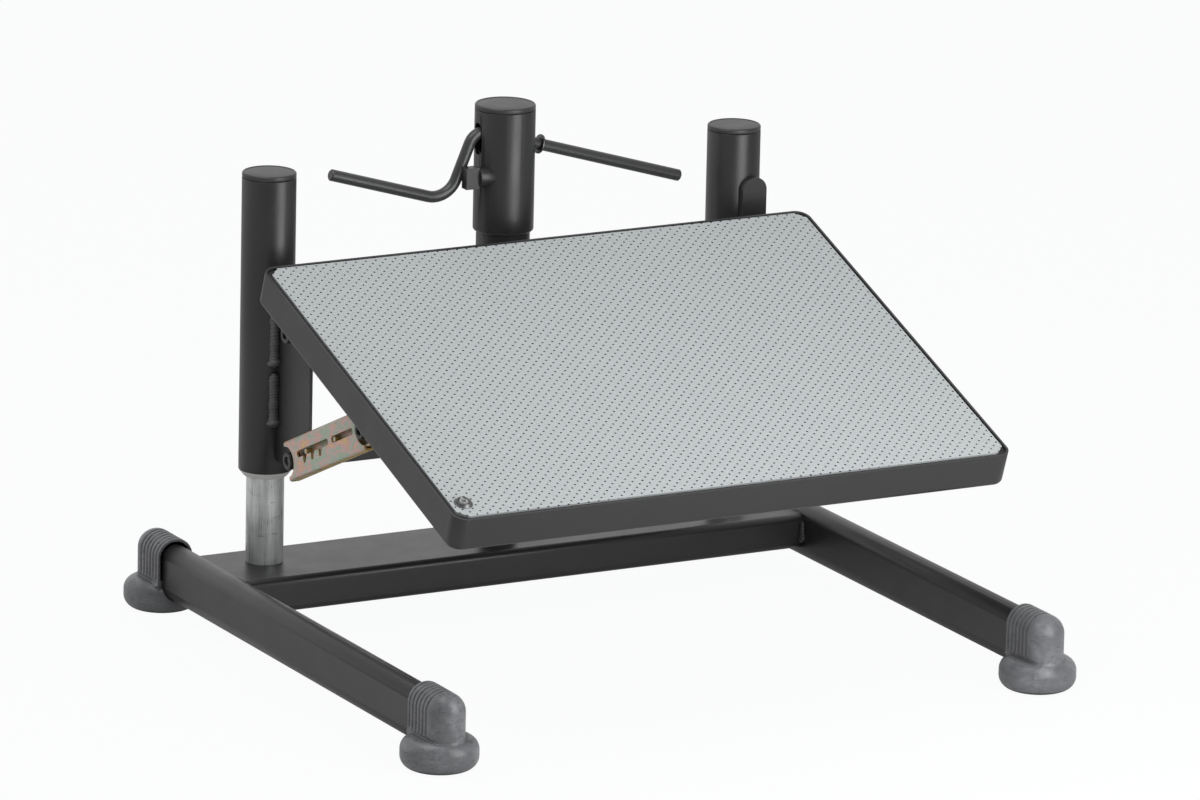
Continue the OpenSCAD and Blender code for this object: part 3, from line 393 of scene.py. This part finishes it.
def foot_rubber():
    finish = Finish("foot_rubber")
    bloom = finish.grain(40, 5, 0.6, warp=0.7)
    swirl = finish.grain(110, 4, 0.6, finish.stretch((1, 1, 2.2)), 1.2)
    tone = finish.ramp(finish.mix(0.4, bloom, swirl), RUBBER_TONES)
    speck = finish.ramp(finish.grain(1200, 2), [(0.62, 0.0), (0.75, 0.25)])
    worn = finish.mix(speck, tone, SPECK_PALE)
    # Painted shade: grooves and other hidden places are painted near black by how little of the open they see.
    groove_shade = finish.tree.nodes.new("ShaderNodeAmbientOcclusion")
    groove_shade.samples = GROOVE_SAMPLES
    groove_shade.inputs["Distance"].default_value = GROOVE_REACH
    unshaded_skin = finish.ramp(groove_shade.outputs["AO"], [(0.66, 0.0), (0.95, 1.0)])
    finish.feed("Base Color", finish.mix(unshaded_skin, GROOVE_PAINTED_SHADE, worn))
    finish.feed("Roughness", finish.ramp(swirl, [(0.38, 0.27), (0.62, 0.42)]))
    finish.set(Specular_IOR_Level=0.5)
    finish.bump(swirl, 0.12)
    finish.bump(finish.grain(1300, 2), 0.03)
    return finish.done()


rubber = foot_rubber()

# %% [markdown]
# ## Mat, nylon and board
# The mat is a pale grey-green sheet with a faint fleck. Its dimples are real ones, made further
# down, and their floors and walls are painted dark, as painted shade inside the pits. The bushings
# are pale grey nylon, and the board inside the tray is pressed from chips and nearly black, where
# it shows at the mat's cut corners.

# %% Mat, nylon and board
MAT_TONES = [
    (0.3, (0.4, 0.43, 0.44)),
    (0.5, (0.468, 0.495, 0.502)),
    (0.7, (0.53, 0.555, 0.562)),
]
MAT_MEAN = (0.45, 0.478, 0.486)
# Dark tones of the painted shade on the floors and walls of the pits.
PIT_SHADE_TONES = ((0.04, 0.043, 0.045), (0.075, 0.079, 0.082))
NYLON_TONES = ((0.66, 0.65, 0.63), (0.78, 0.77, 0.75))
# Nearly black chips, the tone that shows at the mat's cut corners.
CHIP_TONES = [(0.3, (0.012, 0.012, 0.012)), (0.7, (0.035, 0.034, 0.033))]


def mat_sheet():
    finish = Finish("dotted_mat")
    fleck = finish.grain(750, 3, 0.7)
    calm = finish.math("MULTIPLY", finish.grain(9, 3), 0.2)
    finish.feed("Base Color", finish.mix(calm, finish.ramp(fleck, MAT_TONES), MAT_MEAN))
    finish.feed("Roughness", finish.ramp(finish.grain(150, 3), [(0.3, 0.52), (0.7, 0.66)]))
    finish.set(Specular_IOR_Level=0.3)
    finish.bump(fleck, 0.04)
    return finish.done()


def shaded_dimple_floor():
    finish = Finish("shaded_dimple_floor")
    finish.feed("Base Color", finish.mix(finish.grain(300, 2), *PIT_SHADE_TONES))
    finish.set(Roughness=0.8)
    return finish.done()


def nylon():
    finish = Finish("pale_nylon")
    finish.feed("Base Color", finish.mix(finish.grain(50, 3), *NYLON_TONES))
    finish.feed("Roughness", finish.ramp(finish.grain(200, 3), [(0.3, 0.42), (0.7, 0.56)]))
    finish.bump(finish.grain(700, 2), 0.04)
    return finish.done()


def pressed_board():
    finish = Finish("board_wood")
    chips = finish.grain(220, 5, 0.7, finish.stretch((1, 1, 3)))
    finish.feed("Base Color", finish.ramp(chips, CHIP_TONES))
    finish.set(Roughness=0.8)
    finish.bump(chips, 0.2)
    return finish.done()


mat = mat_sheet()
mat_pit_shade = shaded_dimple_floor()
pale_nylon = nylon()
board = pressed_board()

# %% [markdown]
# ## Dress the carried-over parts
# The record already says which finish each node has, so the new materials go on by that list.
# The frame's parts have razor edges, and real edges catch a thin line of light. A weld and a
# bevel modifier round them, without touching the mesh below. Folded sheet and bent bar get a
# larger radius than turned or sawn parts.

# %% Finish every node
FINISHES = {
    "black_powder_coat": black,
    "foot_rubber": rubber,
    "galvanised_steel": post_steel,
    "pale_nylon": pale_nylon,
    "black_cap_plastic": black_plastic,
    "cylinder_paint": cylinder_paint,
    "bright_steel": steel,
    "yellow_zinc": zinc,
    "board_wood": board,
    "dotted_mat": mat,
}
NODE_FINISHES = {
    "lever_rod": rod_black,
    "lever_ring": dull_steel,
    "strut_slider_left": zinc_deep,
    "strut_slider_right": zinc_deep,
}
EDGE_RADIUS_MM = {
    "cross_beam": 0.3, "leg": 0.3, "post": 0.3, "spring_socket": 0.8,
    "tube": 0.5, "bushing": 0.4, "head_sleeve": 0.4, "side_plate": 0.6,
    "crossbar": 1.2, "front_bar": 1.0, "lever_block": 0.8, "lever_ring": 0.3,
    "hinge_tube": 0.8, "strut_tube": 0.8, "slider_tube": 0.8,
    "hinge_axles": 0.3, "strut_axles": 0.3, "slider_axles": 0.3,
    "strut_channel": 0.25, "strut_slider": 0.3, "rod_nut": 0.3,
    "tray_pan": 0.9, "tray_rail": 0.5, "rail_screws": 0.2,
}
SAME_CORNER = 0.005 * MM
SHARP_EDGE = math.radians(40)
EDGE_STEPS = 2


def family(node):
    """A node's name without its side."""
    for ending in ("_left", "_right", "_centre"):
        node = node.removesuffix(ending)
    return node


def soften(thing, radius_mm):
    """Joins the split corners of a mesh and rounds its sharp edges."""
    weld = thing.modifiers.new("weld", "WELD")
    weld.merge_threshold = SAME_CORNER
    bevel = thing.modifiers.new("edges", "BEVEL")
    bevel.width = radius_mm * MM
    bevel.segments = EDGE_STEPS
    bevel.limit_method = "ANGLE"
    bevel.angle_limit = SHARP_EDGE
    bevel.use_clamp_overlap = True
    bevel.harden_normals = True


softened = 0
for part in frame["record"]["subparts"]:
    thing = frame["nodes"][part["node"]]
    for holder in thing.material_slots:
        holder.link = "OBJECT"
        holder.material = NODE_FINISHES.get(part["node"], FINISHES[part["material_slot"]])
    radius_mm = EDGE_RADIUS_MM.get(family(part["node"]))
    if radius_mm:
        soften(thing, radius_mm)
        softened += 1
print("finished", len(frame["nodes"]), "nodes, rounded the edges of", softened)

# %% [markdown]
# ## New pieces
# A new mesh is made once and then joins a body. `build` turns a bmesh into an object, gives it
# its finish, makes it ride and lets it stand for the plain nodes.
# `lathe` turns a profile, and `join_rings` skins a stack of equal rings.

# %% Piece helpers
SHADING_CREASE = math.radians(35)


def build(name, shape, body, finish, replaces):
    """Object from a bmesh, riding on a body and standing for the named nodes."""
    bmesh.ops.recalc_face_normals(shape, faces=shape.faces)
    mesh = bpy.data.meshes.new(name)
    shape.to_mesh(mesh)
    shape.free()
    for polygon in mesh.polygons:
        polygon.use_smooth = True
    mesh.set_sharp_from_angle(angle=SHADING_CREASE)
    piece = bpy.data.objects.new(name, mesh)
    bpy.context.collection.objects.link(piece)
    for material in finish if isinstance(finish, tuple) else (finish,):
        piece.data.materials.append(material)
    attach(piece, body)
    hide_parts(*replaces)
    print(name, "has", len(mesh.polygons), "faces")
    return piece


def join_rings(shape, rings):
    """Walls between neighbouring rings of corners, and a face on each end."""
    for lower, upper in zip(rings, rings[1:]):
        for i in range(len(lower)):
            j = (i + 1) % len(lower)
            shape.faces.new((lower[i], lower[j], upper[j], upper[i]))
    shape.faces.new(rings[0])
    shape.faces.new(rings[-1])


def lathe(shape, profile, around=96, closed=False):
    """Turns a profile of radius and height, in millimetres, about the z axis."""
    rings = []
    for radius, height in profile:
        ring = []
        for step in range(around if radius else 1):
            turn = math.tau * step / around
            across, deep = radius * MM * math.cos(turn), radius * MM * math.sin(turn)
            ring.append(shape.verts.new((across, deep, height * MM)))
        rings.append(ring)
    pairs = list(zip(rings, rings[1:]))
    if closed:
        pairs.append((rings[-1], rings[0]))
    for lower, upper in pairs:
        for i in range(around):
            j = (i + 1) % around
            corners = (
                lower[i % len(lower)], lower[j % len(lower)],
                upper[j % len(upper)], upper[i % len(upper)],
            )
            shape.faces.new(list(dict.fromkeys(corners)))
    return shape


# %% [markdown]
# ## Tube caps
# A moulded cap closes each tube. Its top is a shallow disc inside a rounded rim, and its lower
# edge is chamfered, which leaves the thin dark line between cap and tube. All three share one
# turned profile, with a plug that fills the tube; only the radius differs.

# %% Caps
CAP_HEIGHT_MM = 5
PLUG_MM = 10
PLUG_SET_MM = 2.6
CAP_RIM = [
    (1, 0), (0.3, 0.5), (0, 1), (0, 3.3), (0.25, 4.1), (0.8, 4.7),
    (1.5, 4.95), (2.1, CAP_HEIGHT_MM), (2.6, 4.85), (2.9, 4.5), (3.3, 4.6),
]
CAP_DISC_MM = 4.75
CAP_CROWN_MM = 4.8


def make_cap(node):
    low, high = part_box(node)
    radius = (high[0] - low[0]) / 2 / MM
    plug = radius - PLUG_SET_MM
    profile = [(0, -PLUG_MM), (plug, -PLUG_MM), (plug, 0)]
    profile += [(radius - inset, height) for inset, height in CAP_RIM]
    profile += [(radius / 2, CAP_DISC_MM), (0, CAP_CROWN_MM)]
    shape = lathe(bmesh.new(), profile)
    spot = middle(node)
    shape.transform(Matrix.Translation((spot.x, spot.y, high[2] - CAP_HEIGHT_MM * MM)))
    build(f"moulded_{node}", shape, "carriage", black_plastic, [node])


for cap_node in ("cap_left", "cap_right", "head_cap"):
    make_cap(cap_node)

# %% [markdown]
# ## A weld bead
# A hand-held torch lays metal in overlapping drops, so a bead is a row of scales that lean back
# along its way, with a wider drop where the welder stopped. Each bead here is a tube whose
# radius rises and falls with the scales, half sunk in the corner that it fills. On a round tube
# its back is held inside the wall, because a post guide slides past on the other side.

# %% Bead
SCALE_MM = 3.1
BEAD_AROUND = 20
BEAD_STEP_MM = 0.45
END_TAPER_MM = 3.2
END_FULLNESS_MM = 0.2
SCALE_LEAN = 0.25
DROP = 0.5
DROP_PLACE_MM = 3.6
DROP_LENGTH_MM = 3.4
SUNK_MM = 1.2
tube_low, tube_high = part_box("tube_left")
TUBE_RADIUS_MM = (tube_high[0] - tube_low[0]) / 2 / MM
print("scales every", SCALE_MM, "mm, tube radius", round(TUBE_RADIUS_MM, 2), "mm")


def fullness(rise, low):
    """Scales, a slow ripple and the last drop, as a share of the bead's radius."""
    wander = rise + 1.3 * math.sin(rise / 7)
    scales = 0.88 + 0.12 * abs(math.sin(math.pi * wander / SCALE_MM)) ** 0.7
    ripple = 0.06 * math.sin(rise / 2.3) * math.sin(rise / 9)
    drop = DROP * math.exp(-((rise - low - DROP_PLACE_MM) / DROP_LENGTH_MM) ** 2)
    return scales + ripple + drop


def bead(shape, x, y, low, high, radius, tube_x=None):
    """Upright bead in millimetres, its last drop at the lower end.

    With tube_x, the middle of a column tube, the bead's back ends inside the tube's wall.
    """
    count = int((high - low) / BEAD_STEP_MM)
    rings = []
    for step in range(count + 1):
        rise = low + (high - low) * step / count
        from_end = min(rise - low, high - rise)
        thick = radius * math.sqrt(min(1, (from_end + END_FULLNESS_MM) / END_TAPER_MM))
        size = thick * fullness(rise, low)
        ring = []
        for i in range(BEAD_AROUND):
            turn = math.tau * i / BEAD_AROUND
            lean = SCALE_LEAN * thick * math.cos(turn + math.pi / 2)
            across = x + size * math.cos(turn)
            deep = y + size * math.sin(turn)
            if tube_x is not None:
                bulge = math.sqrt(TUBE_RADIUS_MM ** 2 - (across - tube_x) ** 2)
                deep = min(deep, column_y / MM - bulge + SUNK_MM)
            ring.append(shape.verts.new((across * MM, deep * MM, (rise + lean) * MM)))
        rings.append(ring)
    join_rings(shape, rings)


# %% [markdown]
# ## The welds
# Two stitches hold each side plate to its column, one at the foot and one at the top, because a
# full seam would warp the tube. Short upright beads join the cross beam to the legs. The plain
# weld nodes give the ends of every bead, and the fine ones take their place.

# %% Welds
STITCH_MM = 48.5
STITCH_RADIUS_MM = 4.8
STITCH_INSET_MM = 5.2
STITCH_SET_MM = 0.4
STITCH_HANG_MM = 4
STITCH_SHORT_MM = 0.8
BEAM_BEAD_RADIUS_MM = 3.4
BEAM_BEAD_INSET_MM = 1.4
BEAM_BEAD_FROM_EDGE_MM = 3.6


def make_stitches():
    low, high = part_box("plate_welds")
    tube_x = abs(middle("tube_left").x) / MM
    tube_front = column_y / MM - TUBE_RADIUS_MM
    out = high[0] / MM - STITCH_INSET_MM
    shape = bmesh.new()
    for side in SIDES.values():
        for start in (low[2] / MM, high[2] / MM - STITCH_MM):
            bead(
                shape, side * out, tube_front + STITCH_SET_MM,
                start - STITCH_HANG_MM, start + STITCH_MM - STITCH_SHORT_MM,
                STITCH_RADIUS_MM, side * tube_x,
            )
    build("stitch_beads", shape, "carriage", weld_black_painted_light, ["plate_welds"])


def make_beam_beads():
    low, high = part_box("beam_welds")
    out = high[0] / MM - BEAM_BEAD_INSET_MM
    shape = bmesh.new()
    for side in SIDES.values():
        for y in (low[1] / MM + BEAM_BEAD_FROM_EDGE_MM, high[1] / MM - BEAM_BEAD_FROM_EDGE_MM):
            bead(shape, side * out, y, low[2] / MM, high[2] / MM, BEAM_BEAD_RADIUS_MM)
    build("beam_beads", shape, "base", black, ["beam_welds"])


make_stitches()
make_beam_beads()

# %% [markdown]
# ## Where the mat's pits are
# The mat lies in the tray, and its corners are cut off at 45 degrees. Thousands of small round
# pits cover it in a staggered grid, slightly askew to the tray, as a sheet cut from a roll is.
# None is near the corner screw, whose washer would hide it. Pits that the knife went through at
# the edge are kept, so the grid runs out over the outline by one radius. The skew moves rows
# up and down, which takes a few spare ones.

# %% Outline and pits
MAT_LOW, MAT_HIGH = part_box("tray_mat")
PIT_PITCH = 10 * MM
PIT_ROW = 4.7 * MM
PIT_RADIUS = 1.06 * MM
PIT_SIDES = 8
MAT_SKEW = math.radians(-1.0)
MAT_CUT = 9 * MM
WASHER_ROOM = 9.2 * MM
SPARE_ROWS = 4
SPARE_COLUMNS = 3
washer_offset = middle("cup_washer") - tray_middle
SCREW_PLACE = (washer_offset.x, washer_offset.dot(tray_back))
print("corner screw", [round(v, 4) for v in SCREW_PLACE], "m from the mat's middle")


def mat_half_length():
    """Half the mat's length along the slope, from its box."""
    flat = MAT_HIGH[1] - MAT_LOW[1]
    return (flat - MAT_THICKNESS * abs(tray_up.y)) / tray_up.z / 2


def cut_corner_outline(half_w, half_l, cut):
    """Rectangle with its four corners cut off."""
    return [Vector(corner) for corner in (
        (-half_w + cut, -half_l), (half_w - cut, -half_l),
        (half_w, -half_l + cut), (half_w, half_l - cut),
        (half_w - cut, half_l), (-half_w + cut, half_l),
        (-half_w, half_l - cut), (-half_w, -half_l + cut),
    )]


def round_outline(x, y, radius, sides, start=0.0):
    """Corners of a round hole or head, the first one start sides on."""
    turns = [(side + start) * math.tau / sides for side in range(sides)]
    return [Vector((x + radius * math.cos(turn), y + radius * math.sin(turn))) for turn in turns]


def pit_centres(half_w, half_l):
    """Middles of the pits on the mat or across its edge, clear of the washer."""
    rows = int(half_l / PIT_ROW) + SPARE_ROWS
    columns = int(half_w / PIT_PITCH) + SPARE_COLUMNS
    for row in range(-rows, rows + 1):
        for column in range(-columns, columns + 1):
            x = (column + (row % 2) / 2) * PIT_PITCH
            y = row * PIT_ROW + x * math.tan(MAT_SKEW)
            near = abs(x) < half_w + PIT_RADIUS and abs(y) < half_l + PIT_RADIUS
            if near and math.hypot(x - SCREW_PLACE[0], y - SCREW_PLACE[1]) > WASHER_ROOM:
                yield x, y


# %% [markdown]
# ## Cutting a sheet with pits
# Thousands of boolean cuts would be slow and could fail. A triangulation that keeps given
# outlines cuts the sheet and its pits in one go, also the pits at the edge. It tells which
# outlines each triangle lies in, so the triangle gets its level: the top or a pit's floor.
# Walls then join levels that differ, and a fan of long triangles closes the underside.

# %% Level sheet
TOP, PIT_FLOOR, UNDERSIDE = 0, 1, 2
POINT_TOLERANCE = 1e-9


def level_sheet(shape, points, loops, depth, thickness):
    """Flat sheet with the first loop as its outline and a pit in each other loop."""
    flat, _, triangles, _, _, origins = delaunay_2d_cdt(
        points, [], loops, 1, POINT_TOLERANCE, True,
    )
    drops = (0, depth, thickness)
    made = {}

    def at(point, level):
        if (point, level) not in made:
            corner = (flat[point].x, flat[point].y, -drops[level])
            made[point, level] = shape.verts.new(corner)
        return made[point, level]

    levels = {}
    for triangle, origin in zip(triangles, origins):
        if 0 in origin:
            level = TOP if len(origin) == 1 else PIT_FLOOR
            face = shape.faces.new([at(point, level) for point in triangle])
            face.material_index = level
            for i in range(3):
                levels[triangle[i], triangle[(i + 1) % 3]] = level
    below = shape.verts.new((0, 0, -thickness))
    for (i, j), level in levels.items():
        other = levels.get((j, i), UNDERSIDE)
        for step in range(level, other):
            wall = shape.faces.new((at(i, step), at(j, step), at(j, step + 1), at(i, step + 1)))
            # Walls of pits take the second finish, which on the mat is painted shade.
            wall.material_index = 1 if other == PIT_FLOOR else 0
        if other == UNDERSIDE:
            shape.faces.new((at(i, UNDERSIDE), at(j, UNDERSIDE), below))


# %% [markdown]
# ## The dimpled mat
# The outline and the pits go through that cut, and the flat sheet is then laid on the slope of
# the tray. It has two finishes: the pale sheet, and a dark one on floors and walls of pits, which
# is painted shade.

# %% Mat
PIT_DEPTH = 0.7 * MM
TRAY_TURN = Matrix((Vector((1, 0, 0)), tray_back, tray_up)).transposed().to_4x4()


def make_mat():
    half_w = (MAT_HIGH[0] - MAT_LOW[0]) / 2
    half_l = mat_half_length()
    points = cut_corner_outline(half_w, half_l, MAT_CUT)
    loops = [list(range(len(points)))]
    for x, y in pit_centres(half_w, half_l):
        start = len(points)
        points += round_outline(x, y, PIT_RADIUS, PIT_SIDES, 0.5)
        loops.append(list(range(start, len(points))))
    shape = bmesh.new()
    level_sheet(shape, points, loops, PIT_DEPTH, MAT_THICKNESS)
    shape.transform(Matrix.Translation(tray_middle) @ TRAY_TURN)
    size = (round(half_w * 2, 4), round(half_l * 2, 4))
    print("mat", size, "m with", len(loops) - 1, "pits")
    build("dimpled_mat", shape, "tray", (mat, mat_pit_shade), ["tray_mat"])


make_mat()

# %% [markdown]
# ## The corner screw
# One screw in a pressed cup washer pins the mat's front corner. The cup is a dull ring that
# rolls over into a cone, and the screw's head lies low in it with a cross for the driver. The
# head is cut the same way as the mat: a round outline with one cross-shaped pit.

# %% Washer and screw
HEAD_RADIUS = 4.2 * MM
HEAD_RISE = 2.5 * MM
HEAD_SIDES = 48
HEAD_THICKNESS = 1.8 * MM
CROSS_REACH = 2.7 * MM
CROSS_HALF = 0.55 * MM
CROSS_DEPTH = 1.2 * MM
CROSS_TURN = math.radians(30)
SHANK_PROFILE = [(0, -15), (2.4, -15), (2.4, -1.85), (0, -1.85)]
WASHER_PROFILE = [
    (2.6, 0.05), (8.5, 0.05), (8.5, 0.4), (8.3, 0.7), (7.7, 1), (7.3, 1.6), (6.9, 2.5),
    (6.4, 3.05), (5.9, 3.18), (5.4, 3), (5, 2.5), (4.4, 1.7), (3.4, 1), (2.6, 0.8),
]


def cross_outline(arm, half):
    """Outline of an upright cross of four equal arms."""
    return [Vector(corner) for corner in (
        (arm, -half), (arm, half), (half, half), (half, arm),
        (-half, arm), (-half, half), (-arm, half), (-arm, -half),
        (-half, -half), (-half, -arm), (half, -arm), (half, -half),
    )]


def make_corner_screw():
    seat = tray_middle + Vector((1, 0, 0)) * SCREW_PLACE[0] + tray_back * SCREW_PLACE[1]
    shape = lathe(bmesh.new(), WASHER_PROFILE, closed=True)
    shape.transform(Matrix.Translation(seat) @ TRAY_TURN)
    build("pressed_washer", shape, "tray", dull_steel, ["cup_washer"])
    points = round_outline(0, 0, HEAD_RADIUS, HEAD_SIDES)
    points += cross_outline(CROSS_REACH, CROSS_HALF)
    loops = [list(range(HEAD_SIDES)), list(range(HEAD_SIDES, len(points)))]
    shape = bmesh.new()
    level_sheet(shape, points, loops, CROSS_DEPTH, HEAD_THICKNESS)
    lathe(shape, SHANK_PROFILE, around=HEAD_SIDES)
    turn = Matrix.Rotation(CROSS_TURN, 4, "Z")
    shape.transform(Matrix.Translation(seat + tray_up * HEAD_RISE) @ TRAY_TURN @ turn)
    build("cross_screw", shape, "tray", steel, ["mat_screw"])


make_corner_screw()

# %% [markdown]
# ## The rubber feet
# Each foot is one moulding: a floor disc with a fat round rim and a ribbed cap that grips the
# leg's end. Moulded rubber has no sharp edge anywhere, and the cap flows into the disc with a
# small skirt. Adding that skirt to the plain foot, rebuilding both from small cubes and then
# smoothing the result gives just that.

# %% Feet
FOOT_CELL = 0.55 * MM
RELAX_SHARE = 0.5
RELAX_ROUNDS = 1
SKIRT_OUT = 1.9 * MM
SKIRT_RISE = 4 * MM
SKIRT_SINK = 2 * MM
SKIRT_INSET = 0.5 * MM
SKIRT_RINGS = 6
SKIRT_STEPS = 24
DISC_HEIGHT = 29.2 * MM
CAP_WIDTH = 35.4 * MM
CAP_LENGTH = 57 * MM


def skirt_outline(grow, nose_way):
    """Outline of the cap at its foot: straight sides and a half-round nose."""
    radius = CAP_WIDTH / 2
    nose = CAP_LENGTH / 2 - radius
    points = [(-radius - grow, -CAP_LENGTH / 2), (radius + grow, -CAP_LENGTH / 2)]
    for step in range(SKIRT_STEPS + 1):
        turn = math.pi * step / SKIRT_STEPS
        points.append(((radius + grow) * math.cos(turn), nose + (radius + grow) * math.sin(turn)))
    return [(x, y * nose_way) for x, y in points]


def make_foot(end, side):
    node = f"foot_{end}_{side}"
    nose_way = -1 if end == "front" else 1
    low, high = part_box(node)
    centre = Vector(((low[0] + high[0]) / 2, (low[1] + high[1]) / 2, 0))
    shape = bmesh.new()
    shape.from_mesh(frame["nodes"][node].data)
    bmesh.ops.remove_doubles(shape, verts=shape.verts, dist=SAME_CORNER)
    rings = []
    for step in range(SKIRT_RINGS):
        share = step / (SKIRT_RINGS - 1)
        outline = skirt_outline(SKIRT_OUT * (1 - share) ** 2 - SKIRT_INSET, nose_way)
        height = DISC_HEIGHT - SKIRT_SINK + (SKIRT_RISE + SKIRT_SINK) * share
        rings.append([shape.verts.new((centre.x + x, centre.y + y, height)) for x, y in outline])
    join_rings(shape, rings)
    piece = build(f"rubber_{node}", shape, "base", rubber, [node])
    cells = piece.modifiers.new("cells", "REMESH")
    cells.mode = "VOXEL"
    cells.voxel_size = FOOT_CELL
    cells.use_smooth_shade = True
    relax = piece.modifiers.new("relax", "SMOOTH")
    relax.factor = RELAX_SHARE
    relax.iterations = RELAX_ROUNDS


for foot_end in ("front", "rear"):
    for foot_side in SIDES:
        make_foot(foot_end, foot_side)

# %% [markdown]
# ## A background that is white to the eye
# The photograph is a cut-out on white. Floor and room show that white only to camera and
# transmission rays and, by a smaller share, to glossy ones. All other rays meet plain
# surfaces, so the background is pure white without more light on the object.

# %% White for the eye
WHITE = (0.995, 1, 1, 1)


def white_for_the_eye(tree, plain, white, seen, mirrored):
    """Mixes a plain shader with white, by shares for what is seen and what is mirrored."""
    path = tree.nodes.new("ShaderNodeLightPath")
    shares = (("Is Camera Ray", seen), ("Is Transmission Ray", seen), ("Is Glossy Ray", mirrored))
    total = None
    for ray, share in shares:
        node = tree.nodes.new("ShaderNodeMath")
        node.operation = "MULTIPLY_ADD"
        node.inputs[1].default_value = share
        node.inputs[2].default_value = 0
        tree.links.new(path.outputs[ray], node.inputs[0])
        if total:
            tree.links.new(total, node.inputs[2])
        total = node.outputs["Value"]
    mixer = tree.nodes.new("ShaderNodeMixShader")
    tree.links.new(total, mixer.inputs[0])
    tree.links.new(plain, mixer.inputs[1])
    tree.links.new(white, mixer.inputs[2])
    return mixer.outputs[0]


# %% [markdown]
# ## The floor
# A studio floor is a matt sheet. It keeps a breath of the object's shadow, because a small part
# of what the camera sees of it is the plain matt shader.

# %% Floor
FLOOR_HALF = 30
FLOOR_TONE = 0.71
FLOOR_SEEN = 0.95
FLOOR_MIRRORED = 0.2


def make_floor():
    shape = bmesh.new()
    bmesh.ops.create_grid(shape, x_segments=2, y_segments=2, size=FLOOR_HALF)
    mesh = bpy.data.meshes.new("floor")
    shape.to_mesh(mesh)
    shape.free()
    floor = bpy.data.objects.new("floor", mesh)
    bpy.context.collection.objects.link(floor)
    material = bpy.data.materials.new("white_floor")
    material.use_nodes = True
    tree = material.node_tree
    tree.nodes.clear()
    matt = tree.nodes.new("ShaderNodeBsdfDiffuse")
    matt.inputs["Color"].default_value = (FLOOR_TONE, FLOOR_TONE, FLOOR_TONE, 1)
    glow = tree.nodes.new("ShaderNodeEmission")
    glow.inputs["Color"].default_value = WHITE
    output = tree.nodes.new("ShaderNodeOutputMaterial")
    seen = white_for_the_eye(tree, matt.outputs[0], glow.outputs[0], FLOOR_SEEN, FLOOR_MIRRORED)
    tree.links.new(seen, output.inputs["Surface"])
    mesh.materials.append(material)
    print("floor reaches", FLOOR_HALF, "m each way, tone", FLOOR_TONE)


make_floor()

# %% [markdown]
# ## The room
# The room is bright behind the object and dim behind the camera. That keeps the front of the
# tray and the beam dark, as in the photograph, while their upper faces stay pale.

# %% Room
FRONT_LIGHT = 0.15
BACK_LIGHT = 0.85
ROOM_MIRRORED = 0.12


def make_room():
    world = bpy.data.worlds.new("white_room")
    world.use_nodes = True
    tree = world.node_tree
    room = tree.nodes["Background"]
    room.inputs["Color"].default_value = (1, 1, 1, 1)
    way = tree.nodes.new("ShaderNodeSeparateXYZ")
    around = tree.nodes.new("ShaderNodeTexCoord").outputs["Generated"]
    tree.links.new(around, way.inputs["Vector"])
    fade = tree.nodes.new("ShaderNodeMapRange")
    fade.interpolation_type = "SMOOTHSTEP"
    fade.inputs["From Min"].default_value = -1
    fade.inputs["From Max"].default_value = 1
    fade.inputs["To Min"].default_value = FRONT_LIGHT
    fade.inputs["To Max"].default_value = BACK_LIGHT
    tree.links.new(way.outputs["Y"], fade.inputs["Value"])
    tree.links.new(fade.outputs["Result"], room.inputs["Strength"])
    white = tree.nodes.new("ShaderNodeBackground")
    white.inputs["Color"].default_value = WHITE
    seen = white_for_the_eye(tree, room.outputs[0], white.outputs[0], 1, ROOM_MIRRORED)
    tree.links.new(seen, tree.nodes["World Output"].inputs["Surface"])
    bpy.context.scene.world = world
    bpy.context.scene.view_settings.view_transform = "Standard"
    print("room light from", FRONT_LIGHT, "in front to", BACK_LIGHT, "behind")


make_room()

# %% [markdown]
# ## Two soft boxes
# A tall soft box in front and a little to the right draws the pale band down each column. A
# square one above and to the left lightens the caps, the beam and the mat. Places are in
# metres and power in watts.

# %% Soft boxes


def soft_box(name, place, target, width, height, power):
    data = bpy.data.lights.new(name, "AREA")
    data.shape = "RECTANGLE"
    data.size = width
    data.size_y = height
    data.energy = power
    lamp = bpy.data.objects.new(name, data)
    bpy.context.collection.objects.link(lamp)
    lamp.location = place
    lamp.visible_camera = False
    lamp.rotation_euler = (Vector(target) - Vector(place)).to_track_quat("-Z", "Y").to_euler()
    print(name, "gives", power, "W from", width, "by", height, "m")


soft_box(
    "front_panel", place=(0.26, -1.1, 0.72), target=(0.1, 0.2, 0.72),
    width=0.75, height=1.4, power=13.2,
)
soft_box(
    "overhead", place=(-0.7, -0.05, 1.75), target=(0, 0, 0.2),
    width=1, height=1, power=7.9,
)
